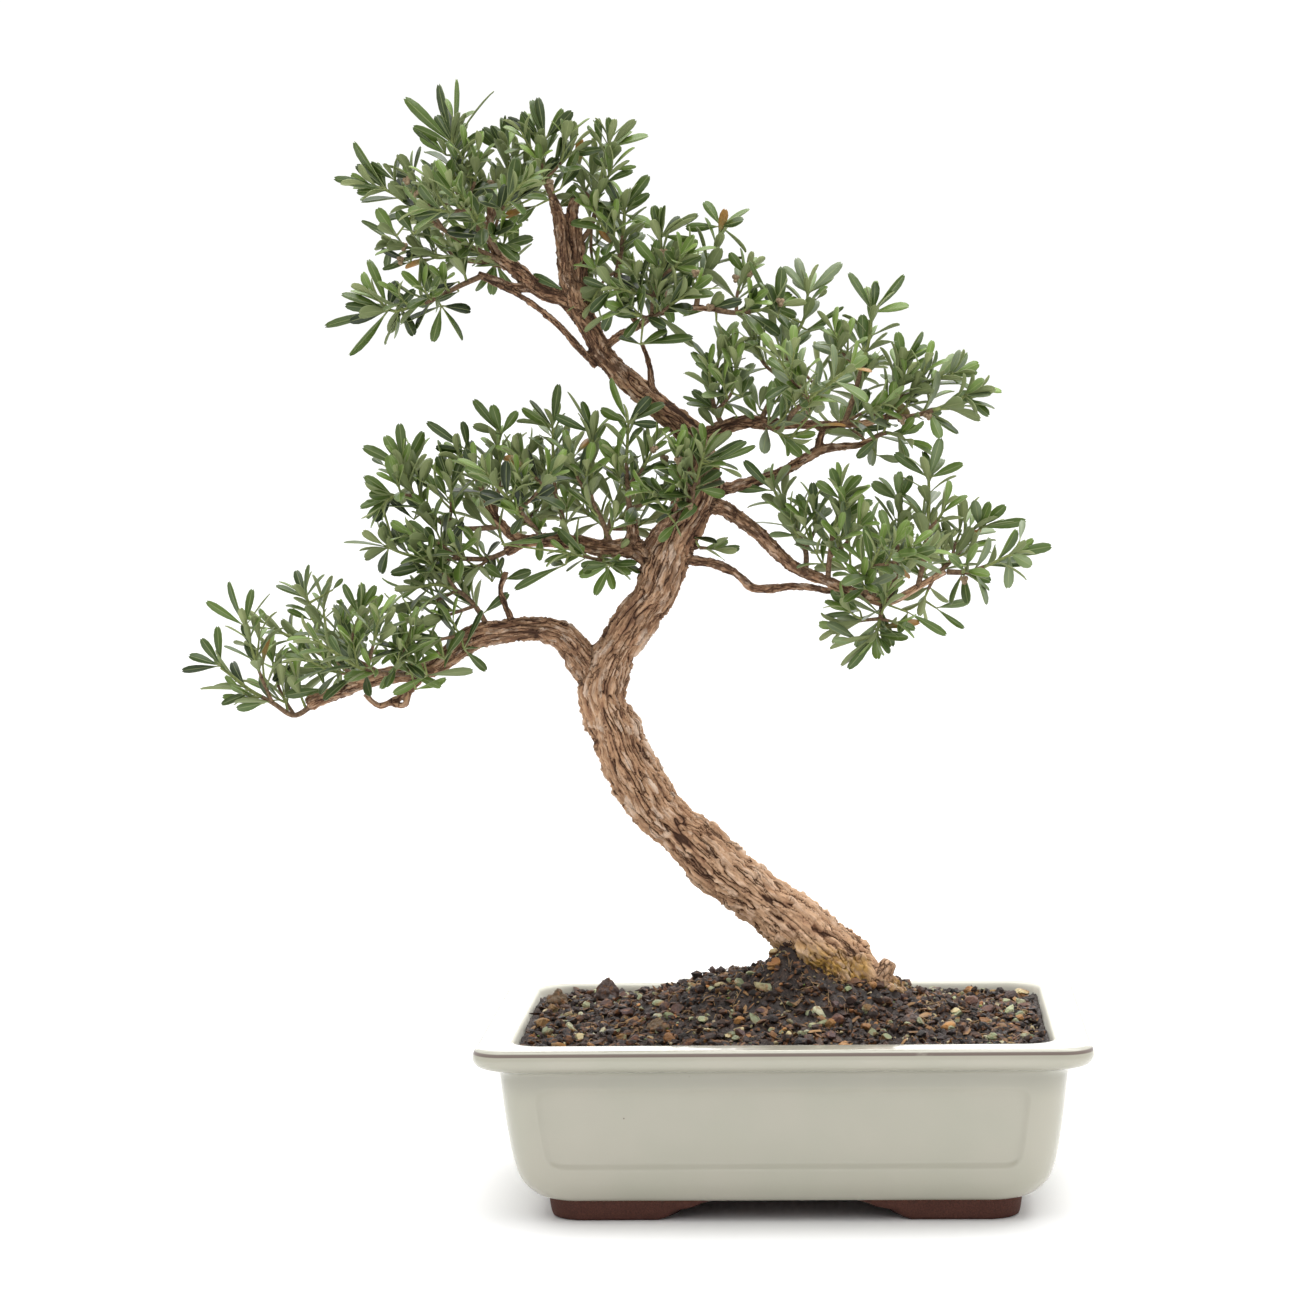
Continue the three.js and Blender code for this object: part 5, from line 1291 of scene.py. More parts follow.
@dataclass
class Pot:
    """The glazed pot: walls with a rolled rim and shallow panels, on scalloped clay feet."""

    # Each ring of the wall: how far in from the rim's end and from its front, its height, and how sharp
    # an edge it is for the glaze
    outside: tuple = (
        (37, 26.5, 8, 0.25), (33.4, 23.9, 8.3, 0.1), (28.8, 21.4, 10, 0), (25, 19, 13.2, 0),
        (21.6, 17, 17.4, 0), (19.2, 15.6, 23, 0), (17, 14, 32, 0), (15.2, 12.6, 43, 0),
        (13.6, 11.8, 55, 0), (12.3, 11, 67, 0), (11.7, 10.6, 71, 0), (10.6, 9.8, 73, 0),
        (8.2, 7.8, 74.3, 0.05), (4.6, 4.5, 75.4, 0.05), (1.6, 1.5, 77.4, 0),
        (0.2, 0.2, 80.4, 0), (0.4, 0.4, 82.8, 0.2), (0.6, 0.6, 83.5, 1), (0.95, 0.95, 84.4, 0.9),
        (1.6, 1.6, 85.3, 0.2), (3.0, 3.0, 86.0, 0), (4.4, 4.4, 86.0, 0), (9, 9, 86.1, 0),
        (15.6, 15.6, 86.0, 0), (16.5, 16.5, 85.9, 0.5), (17.2, 17.2, 85.75, 1), (18.2, 18.2, 85.2, 1),
        (18.7, 18.7, 84.4, 0.8), (19.1, 19.1, 83, 0.3), (20, 19.5, 79, 0),
        (22.5, 21, 70, 0), (27.5, 23.5, 45, 0), (36, 27, 24, 0), (44, 33, 18, 0),
    )
    corner_steps: int = 12
    long_steps: int = 60
    short_steps: int = 46
    wall_step: float = 1.1
    rim_step: float = 0.45
    inner_step: float = 5.0
    wall_top: float = 71.0
    inner_top: float = 80.0
    # The heights of the painted shade that greys the wall just below the rim's lip, and how far in the inner
    # wall is painted light and turns matt
    lip_shade_heights: tuple = (58.0, 73.5, 75.0, 79.5)
    inner_inset: float = 12.0
    inner_light_and_matt: tuple = (16.5, 18.5)
    # How far from the front the brown line on the rim's inner edge fades
    line_fade: tuple = (22.0, 30.0)
    panel_top: float = 66.0
    panel_bottom: float = 25.0
    panel_margin: float = 17.5
    panel_corner: float = 7.0
    panel_depth: float = 1.5
    panel_fillet: float = 3.4
    foot_inset: float = 1.3
    foot_thickness: float = 13.0
    front_gap: float = 61.5
    end_gap: float = 44.0
    finish: GlazeFinish = field(default_factory=GlazeFinish)
    clay: ClayFinish = field(default_factory=ClayFinish)

    def outline(self, end_inset: float, front_inset: float) -> np.ndarray:
        """Lays out one level of the pot.

        Args:
            end_inset: How far in from the rim's end.
            front_inset: How far in from the rim's front.
        Returns:
            Rows of x and y, anticlockwise from the right end of the front.
        """
        corner = corner_radius(front_inset)
        half_x = POT_LENGTH / 2 - end_inset - corner
        half_y = POT_DEPTH / 2 - front_inset - corner
        rows = []
        sides = (
            (half_x, -half_y, -90, half_y, self.short_steps),
            (half_x, half_y, 0, half_x, self.long_steps),
            (-half_x, half_y, 90, half_y, self.short_steps),
            (-half_x, -half_y, 180, half_x, self.long_steps),
        )
        for centre_x, centre_y, start, half_side, steps in sides:
            angles = np.radians(start + np.linspace(0, 90, self.corner_steps + 1))
            arc = np.column_stack([centre_x + corner * np.cos(angles), centre_y + corner * np.sin(angles)])
            rows.append(arc)
            onward = np.array([-np.sin(angles[-1]), np.cos(angles[-1])])
            walked = half_side * (1 - np.cos(np.pi * np.arange(1, steps) / steps))
            rows.append(arc[-1] + walked[:, None] * onward)
        return np.vstack(rows)

    def panel_depth_at(self, side: np.ndarray, half: float, height: float) -> np.ndarray:
        """Gives how far a panel is pressed into the wall.

        Args:
            side: Places along the wall from its middle.
            half: Half the wall's length.
            height: The height on the wall.
        Returns:
            The depth at each place.
        """
        middle = (self.panel_top + self.panel_bottom) / 2
        beyond_x = np.abs(side) - (half - self.panel_margin - self.panel_corner)
        beyond_z = abs(height - middle) - ((self.panel_top - self.panel_bottom) / 2 - self.panel_corner)
        outside = np.hypot(np.maximum(beyond_x, 0), max(beyond_z, 0))
        inside = np.minimum(np.maximum(beyond_x, beyond_z), 0)
        distance = outside + inside - self.panel_corner
        return self.panel_depth * ease(0, self.panel_fillet, -distance)

    def level(self, row: np.ndarray) -> np.ndarray:
        """Places one level of the wall, pressed in at its panels.

        Args:
            row: The level's end inset, front inset and height.
        Returns:
            Rows of x, y and z in millimetres.
        """
        end_inset, front_inset, height = row[:3]
        flat = self.outline(end_inset, front_inset)
        half_x = POT_LENGTH / 2 - end_inset
        half_y = POT_DEPTH / 2 - front_inset
        on_front = np.abs(flat[:, 1]) > half_y - 1e-6
        on_end = np.abs(flat[:, 0]) > half_x - 1e-6
        pressed_y = self.panel_depth_at(flat[:, 0], half_x, height) * on_front
        pressed_x = self.panel_depth_at(flat[:, 1], half_y, height) * on_end
        flat = flat - np.sign(flat) * np.column_stack([pressed_x, pressed_y])
        return np.column_stack([flat, np.full(len(flat), height)])

    def levels(self) -> tuple[np.ndarray, np.ndarray]:
        """Works out every level from the foot of the wall over the rim to the floor inside.

        Returns:
            Rows of end inset, front inset and height, and how sharp an edge each is.
        """
        marks = np.array(self.outside, float)
        walk = smooth_walk(marks, self.wall_step * 0.5)
        height = walk[:, 2]
        fine = np.concatenate([[True], (np.abs(np.diff(height)) > 0) | (np.diff(walk[:, 0]) != 0)])
        walk = walk[fine]
        keep = [0]
        for i in range(1, len(walk)):
            on_wall = walk[i, 2] < self.wall_top and i < len(walk) / 2
            inside = i > len(walk) / 2 and walk[i, 2] < self.inner_top
            step = self.wall_step if on_wall else (self.inner_step if inside else self.rim_step)
            if np.linalg.norm(walk[i, :3] - walk[keep[-1], :3]) >= step or i == len(walk) - 1:
                keep.append(i)
        walk = walk[keep]
        return walk[:, :3], walk[:, 3]

    def build_body(self) -> bpy.types.Object:
        """Builds the glazed body with its two drainage holes.

        Returns:
            The piece.
        """
        rings, sharp = self.levels()
        first = self.level(rings[0])
        bm = bmesh.new()
        circle = bmesh.ops.create_circle(bm, segments=len(first), radius=1)["verts"]
        edges = list({edge for vert in circle for edge in vert.link_edges})
        base = bmesh.ops.contextual_create(bm, geom=edges)["faces"]
        marks = {vert: (sharp[0], 1.0, 0.0) for vert in circle}
        place_verts(circle, first)
        order = circle
        start, full, fade, gone = self.lip_shade_heights
        for number, (ring, sharpness) in enumerate(zip(rings[1:], sharp[1:])):
            edges, order = next_ring(bm, edges, order)
            points = self.level(ring)
            place_verts(order, points)
            if number < len(rings) / 2 or ring[0] < self.inner_inset:
                # Painted shade, strongest just below the rim's lip.
                thick = float(ease(start, full, ring[2]) * (1 - ease(fade, gone, ring[2])))
                worn = np.full(len(points), sharpness)
            else:
                # Painted light on the inner wall, marked below 0.
                thick = -float(ease(*self.inner_light_and_matt, ring[0]))
                worn = sharpness * (1 - ease(*self.line_fade, POT_DEPTH / 2 + points[:, 1]))
            marks.update({vert: (wear, 0.0, thick) for vert, wear in zip(order, worn)})
        bmesh.ops.contextual_create(bm, geom=edges)
        bmesh.ops.triangulate(bm, faces=base)
        bmesh.ops.recalc_face_normals(bm, faces=bm.faces)
        values = np.array([marks[vert] for vert in bm.verts])
        piece = link_piece("pot_body", mesh_from(bm, "pot_body"))
        paint(piece.data, "wear", values)
        self.drill(piece)
        piece.data.shade_smooth()
        return piece

    def drill(self, piece: bpy.types.Object) -> None:
        """Cuts the drainage holes through the pot's floor.

        Args:
            piece: The pot's body.
        """
        bm = bmesh.new()
        for side in (-1, 1):
            middle = in_frame([[side * DRAIN_OFFSET, 0, (BASE_HEIGHT + FLOOR_HEIGHT) / 2]])[0]
            bmesh.ops.create_cone(
                bm, cap_ends=True, segments=32, radius1=DRAIN_DIAMETER / 2 * MM,
                radius2=DRAIN_DIAMETER / 2 * MM, depth=FLOOR_HEIGHT * MM * 1.5,
                matrix=Matrix.Translation(Vector(middle)),
            )
        drills = link_piece("drills", mesh_from(bm, "drills"))
        cut = piece.modifiers.new("holes", "BOOLEAN")
        cut.object = drills
        cut.solver = "EXACT"
        settled(piece)
        bpy.data.objects.remove(drills)

    def foot_floor(self, points: np.ndarray) -> np.ndarray:
        """Gives how low the plinth reaches: down at the corners, scalloped up between the feet.

        Args:
            points: Rows of x and y on the plinth.
        Returns:
            The height at each point.
        """
        half_y = np.abs(points[:, 1]).max()
        on_front = np.abs(points[:, 1]) > half_y - 14
        in_front, in_end = self.front_gap - np.abs(points[:, 0]), self.end_gap - np.abs(points[:, 1])
        inwards = np.where(on_front, in_front, in_end)
        lobe = 5.0 * ease(0, 9, inwards) + 1.6 * ease(8, 18, inwards) + 3.4 * ease(17, 25, inwards)
        return np.minimum(FOOT_LEVEL + lobe, BASE_HEIGHT - 0.25)

    def build_feet(self) -> bpy.types.Object:
        """Builds the plinth that the scalloped feet are part of.

        Returns:
            The piece.
        """
        top_inset = np.array(self.outside[1][:2]) + 0.7
        low_inset = top_inset + self.foot_inset
        outer_top = self.outline(*top_inset)
        outer_low = self.outline(*low_inset)
        inner = self.outline(*(low_inset + self.foot_thickness))
        floor = self.foot_floor(outer_low)
        lip = 2.0
        tuck = unit(inner - outer_low) * lip
        above = np.full(len(floor), BASE_HEIGHT + 0.8)
        share = ((floor - FOOT_LEVEL) / (BASE_HEIGHT - FOOT_LEVEL))[:, None]
        wall_low = outer_low + (outer_top - outer_low) * share
        rings = [
            np.column_stack([outer_top, above]),
            np.column_stack([wall_low + (outer_top - wall_low) * 0.4, floor + (above - floor) * 0.4]),
            np.column_stack([wall_low, np.minimum(floor + lip, above)]),
            np.column_stack([wall_low + tuck * 0.3, floor + lip * 0.3]),
            np.column_stack([wall_low + tuck, floor]),
            np.column_stack([inner - tuck, floor]),
            np.column_stack([inner, np.minimum(floor + lip, above)]),
            np.column_stack([inner, above]),
        ]
        bm = bmesh.new()
        circle = bmesh.ops.create_circle(bm, segments=len(outer_top), radius=1)["verts"]
        place_verts(circle, rings[0])
        edges = list({edge for vert in circle for edge in vert.link_edges})
        start, order = edges, circle
        for ring in rings[1:]:
            edges, order = next_ring(bm, edges, order)
            place_verts(order, ring)
        bmesh.ops.bridge_loops(bm, edges=start + edges)
        bmesh.ops.recalc_face_normals(bm, faces=bm.faces)
        piece = link_piece("pot_feet", mesh_from(bm, "pot_feet"))
        piece.data.shade_smooth()
        piece.data.set_sharp_from_angle(angle=math.radians(50))
        return piece

    def dress(self) -> list[bpy.types.Object]:
        """Builds the pot's pieces and gives them their finishes.

        Returns:
            The pieces.
        """
        body = dressed(self.build_body(), [self.finish.material()], "pot")
        return [body, dressed(self.build_feet(), [self.clay.material()])]


# Tree


@dataclass
class Tree:
    """Trunk, roots and limbs in one skin of corky bark."""

    voxel: float = 0.6
    most_triangles: int = 188000
    walk_step: float = 1.0
    blend_width: float = 2.5
    plate: float = 4.0
    limb_shift: float = 500.0
    # How many more rounds of smoothing the limbs get that are thicker than each radius
    smoothing: tuple = ((0.0, 1), (2.5, 2), (5.0, 4), (9.0, 4))
    # The kinds of crack: where the pattern is read, and how wide and long its cells are
    crack_kinds: tuple = ((0, 1.3, 15), (60, 0.85, 9.5), (130, 0.5, 5.5))
    seed: int = 7
    finish: BarkFinish = field(default_factory=BarkFinish)

    def __post_init__(self) -> None:
        """Walks along every limb."""
        self.pattern = Pattern(self.seed)
        self.walks = []
        for stations in (TRUNK, *LIMBS.values()):
            table = np.array(stations, float)
            placed = np.column_stack([seen_at(table[:, :3]), table[:, 3]])
            self.walks.append(smooth_walk(placed, self.walk_step))

    def rough_skin(self) -> bpy.types.Object:
        """Joins a round tube for every limb into one even mesh.

        Returns:
            The piece.
        """
        paths = [np.column_stack([in_frame(walk[:, :3]), walk[:, 3] * MM]) for walk in self.walks]
        piece = link_piece("trunk_skin", tubes([path[::2] for path in paths], 16))
        remesh = piece.modifiers.new("skin", "REMESH")
        remesh.mode = "VOXEL"
        remesh.voxel_size = self.voxel * MM * 1.0
        return settled(piece)

    def nearest(self, points: np.ndarray) -> tuple[np.ndarray, np.ndarray, np.ndarray]:
        """Finds the two limbs that each point lies closest to.

        Args:
            points: Rows of x, y and z in millimetres.
        Returns:
            The walk's row that is nearest on each of the two limbs, and how much the second counts.
        """
        walk = np.vstack(self.walks)
        ends = np.cumsum([len(w) for w in self.walks])
        starts = ends - [len(w) for w in self.walks]
        chosen, share = [], []
        for chunk in np.array_split(points, max(1, len(points) // 4000)):
            square = (chunk**2).sum(1)[:, None] + (walk[:, :3] ** 2).sum(1) - 2 * chunk @ walk[:, :3].T
            gap = np.sqrt(np.maximum(square, 0)) - walk[:, 3]
            best = np.stack([a + gap[:, a:b].argmin(axis=1) for a, b in zip(starts, ends)], axis=1)
            by_limb = np.take_along_axis(gap, best, axis=1)
            order = np.argsort(by_limb, axis=1)[:, :2]
            chosen.append(np.take_along_axis(best, order, axis=1))
            near = np.take_along_axis(by_limb, order, axis=1)
            share.append(0.5 * (1 - ease(0, self.blend_width, near[:, 1] - near[:, 0])))
        rows = np.vstack(chosen)
        return rows[:, 0], rows[:, 1], np.concatenate(share)

    def straightened(self, points: np.ndarray, rows: np.ndarray) -> tuple[np.ndarray, np.ndarray]:
        """Unbends the limbs: gives each point its place beside and along its limb.

        Args:
            points: Rows of x, y and z in millimetres.
            rows: The walk's row that each point belongs to.
        Returns:
            Rows of two places across the limb and one along it, and the limb's radius.
        """
        walk = np.vstack(self.walks)
        frames = [carried_frames(w) for w in self.walks]
        side = np.vstack([f[1] for f in frames])[rows]
        other = np.vstack([f[2] for f in frames])[rows]
        along = np.concatenate(
            [np.arange(len(w)) * self.walk_step + self.limb_shift * i for i, w in enumerate(self.walks)]
        )
        offset = points - walk[rows, :3]
        radius = walk[rows, 3]
        beside, before = (offset * side).sum(1), (offset * other).sum(1)
        around = np.maximum(np.hypot(beside, before), 1e-6)
        return np.column_stack([beside / around * radius, before / around * radius, along[rows]]), radius

    def bark_at(self, place: np.ndarray, radius: np.ndarray) -> np.ndarray:
        """Works out the bark: plates lying lengthwise, with crevices and splits between them.

        Args:
            place: Rows of two places across the limb and one along it.
            radius: The limb's radius at each.
        Returns:
            Rows of the height from 0 to 1, a tone for each plate, and how far off each kind of crack is.
        """
        pattern = self.pattern
        size = self.plate * float(np.clip(radius / 11, 0.45, 1.0).mean())
        drift = np.column_stack([pattern.cloud(place + shift, (8, 8, 19), 3) for shift in (0, 40, 80)])
        jag = np.column_stack([pattern.cloud(place + shift, (2.4, 2.4, 3.6), 2) for shift in (20, 50, 90)])
        bent = place + drift * size * [0.4, 0.4, 0.8] + jag * size * [0.08, 0.08, 0.2]
        fissure = np.zeros(len(place))
        cracks = []
        for shift, wide, long in self.crack_kinds:
            field = pattern.cloud(bent + shift, (size * wide, size * wide, size * long), 2)
            present = 0.1 + 0.9 * ease(-0.55, 0.2, pattern.cloud(place + shift, 8.0))
            cracks.append(field / present)
            groove = np.maximum(1 - np.abs(cracks[-1]) / 0.27, 0) ** 1.3
            fissure = np.maximum(fissure, groove * (0.35 + 0.65 * wide / 1.3))
        gap, tone = pattern.cells(bent + 31, (size * 0.75, size * 0.75, size * 2.4))
        split = (1 - ease(0.0, 0.12, gap)) * ease(-0.1, 0.4, pattern.cloud(place + 9, 6.0))
        fibre = pattern.cloud(bent + drift * 0.6, (0.9, 0.9, 6.0), 3)
        flake = ease(0.78, 0.86, tone) * ease(0.05, 0.2, gap)
        height = 0.66 + 0.4 * (tone - 0.5) + 0.22 * fibre + 0.3 * flake - 0.78 * fissure - 0.22 * split
        return np.column_stack([np.clip(height, 0, 1.3), tone, *cracks])

    def build(self) -> bpy.types.Object:
        """Builds the skin and presses the bark into it.

        Returns:
            The piece.
        """
        piece = self.rough_skin()
        mesh = piece.data
        points = from_frame(vertices_of(mesh))
        first, second, share = self.nearest(points)
        radii = np.vstack(self.walks)[first, 3]
        bm = bmesh.new()
        bm.from_mesh(mesh)
        bm.verts.ensure_lookup_table()
        for smallest, rounds in self.smoothing:
            thick = [bm.verts[i] for i in np.flatnonzero(radii > smallest)]
            for _ in range(rounds):
                bmesh.ops.smooth_vert(
                    bm, verts=thick, factor=0.5, use_axis_x=True, use_axis_y=True, use_axis_z=True
                )
        bm.to_mesh(mesh)
        bm.free()
        points = from_frame(vertices_of(mesh))
        place, radius = self.straightened(points, first)
        other_place, other_radius = self.straightened(points, second)
        bark = self.bark_by_limb(place, radius, first)
        joined = np.flatnonzero(share > 0.01)
        other = self.bark_by_limb(other_place[joined], other_radius[joined], second[joined])
        bark[joined] += (other - bark[joined]) * share[joined, None]
        height = bark[:, 0]
        normals = np.empty(len(mesh.vertices) * 3)
        mesh.vertices.foreach_get("normal", normals)
        depth = 0.42 * np.maximum(radius, 1.2) ** 0.68
        lump = 0.085 * radius * self.pattern.cloud(place, (9, 9, 15), 2)
        rough = 0.17 * radius**0.6 * self.pattern.cloud(points, 3.2, 3)
        shred = 0.2 * radius**0.5 * ease(0.55, 0.9, self.pattern.cloud(points + 60, (1.9, 1.9, 2.6), 2))
        knob = ease(39, 46, points[:, 0]) * ease(100, 106, points[:, 2])
        offset = (depth * (height - 0.6) + rough + shred) * (1 - 0.88 * knob) + lump
        move_vertices(mesh, in_frame(points + normals.reshape(-1, 3) * offset[:, None]))
        above = points[:, 2] - soil_height(points[:, 0], points[:, 1])
        moss = (1 - ease(6, 20, above)) * ease(-0.75, -0.1, self.pattern.cloud(points, (9, 9, 7), 3))
        paint(mesh, "bark", np.column_stack([height, bark[:, 1], moss * (1 - knob)]))
        paint(mesh, "cracks", bark[:, 2:])
        # Painted shade higher up the trunk and on thin limbs; the second number marks the low trunk for
        # painted light.
        age = 0.55 * ease(180, 320, points[:, 2]) + 0.45 * (1 - ease(3, 9, radius))
        age = age * (1 - knob) + 0.25 * self.pattern.cloud(points, 22.0, 2)
        paint(mesh, "age", np.column_stack([age, 1 - ease(125, 205, points[:, 2])]))
        grain = mesh.attributes.new("grain", "FLOAT_VECTOR", "POINT")
        grain.data.foreach_set("vector", (place * MM).astype(np.float32).ravel())
        thin = piece.modifiers.new("thin", "DECIMATE")
        thin.ratio = min(1.0, self.most_triangles / (2 * len(mesh.polygons)))
        settled(piece)
        piece.data.shade_smooth()
        return piece

    def bark_by_limb(self, place: np.ndarray, radius: np.ndarray, rows: np.ndarray) -> np.ndarray:
        """Works out the bark limb by limb, because each limb has plates of its own size.

        Args:
            place: Rows of two places across the limb and one along it.
            radius: The limb's radius at each.
            rows: The walk's row that each point belongs to.
        Returns:
            The rows that bark_at gives.
        """
        ends = np.cumsum([len(w) for w in self.walks])
        limb = np.searchsorted(ends, rows, side="right")
        bark = np.zeros((len(rows), 5))
        for index in np.unique(limb):
            chosen = limb == index
            bark[chosen] = self.bark_at(place[chosen], radius[chosen])
        return bark

    def dress(self) -> list[bpy.types.Object]:
        """Builds the tree and gives it its bark.

        Returns:
            The piece.
        """
        piece = self.build()
        piece.name = "trunk_and_limbs_bark"
        return [dressed(piece, [self.finish.material()], "trunk_and_limbs")]


# Leaves


class Row(Enum):
    """The numbers that shape one leaf, in the order that they are stored."""

    LENGTH = 0
    WIDTH = 1
    BEND = 2
    FOLD = 3
    TWIST = 4
    TONE = 5
    YOUTH = 6
    SPENT = 7


@dataclass
class Leaf:
    """One leaf: where it springs from, which way it points and faces, and the numbers that shape it."""

    base: np.ndarray
    direction: np.ndarray
    facing: np.ndarray
    numbers: list[float]


@dataclass
class LeafPress:
    """Shapes leaves out of a plain closed blade."""

    steps: int = 7
    stations: tuple = (0, 0.12, 0.27, 0.44, 0.62, 0.79, 0.93, 1.0)
    widths: tuple = (0.12, 0.15, 0.42, 0.77, 0.98, 0.98, 0.68, 0.24)
    thickness: float = 0.34

    def __post_init__(self) -> None:
        """Makes the blade that every leaf starts from."""
        bm = bmesh.new()
        bmesh.ops.create_grid(bm, x_segments=2, y_segments=self.steps, size=1)
        bmesh.ops.solidify(bm, geom=bm.faces[:], thickness=0.1)
        bmesh.ops.recalc_face_normals(bm, faces=bm.faces)
        self.blank = mesh_from(bm, "leaf_blank")
        shape = vertices_of(self.blank)
        place = np.round((shape[:, 1] + 1) / 2 * self.steps).astype(int)
        self.along = np.array(self.stations)[place]
        self.half = np.array(self.widths)[place]
        self.across = np.round(shape[:, 0])
        self.top = (shape[:, 2] > shape[:, 2].mean()).astype(float)

    def press(self, leaves: Sequence[Leaf]) -> bpy.types.Mesh:
        """Makes one mesh of many leaves.

        Args:
            leaves: The leaves, in millimetres from the pot's middle.
        Returns:
            The mesh, with the attributes blade and tint.
        """
        mesh = stamped(self.blank, len(leaves))
        numbers = np.array([leaf.numbers for leaf in leaves])
        length, width, bend, fold, twist = (numbers[:, row.value, None] for row in list(Row)[:5])
        direction = np.array([leaf.direction for leaf in leaves])[:, None, :]
        facing = np.array([leaf.facing for leaf in leaves])[:, None, :]
        side = np.cross(direction, facing)
        along, across = self.along[None, :], self.across[None, :]
        turn = bend * along
        reach = length * np.sin(turn) / bend
        drop = length * (1 - np.cos(turn)) / bend
        up = facing * np.cos(turn)[..., None] + direction * np.sin(turn)[..., None]
        spin = twist * along
        out = side * np.cos(spin)[..., None] + up * np.sin(spin)[..., None]
        lift = up * np.cos(spin)[..., None] - side * np.sin(spin)[..., None]
        half = width / 2 * self.half[None, :]
        notch = np.where((along == 1) & (across == 0), -0.03 * length, 0)
        skin = self.thickness * (self.top[None, :] - 0.5) * (1.6 - along)
        point = np.array([leaf.base for leaf in leaves])[:, None, :]
        point = point + direction * (reach + notch)[..., None] - facing * drop[..., None]
        point = point + out * (half * across * np.cos(fold))[..., None]
        point = point + lift * (half * np.abs(across) * np.sin(fold) + skin)[..., None]
        move_vertices(mesh, in_frame(point.reshape(-1, 3)))
        blade = np.column_stack([self.along, (self.across + 1) / 2, self.top])
        paint(mesh, "blade", np.tile(blade, (len(leaves), 1)))
        tint = numbers[:, Row.TONE.value : Row.SPENT.value + 1]
        paint(mesh, "tint", np.repeat(tint, len(self.along), axis=0))
        return mesh


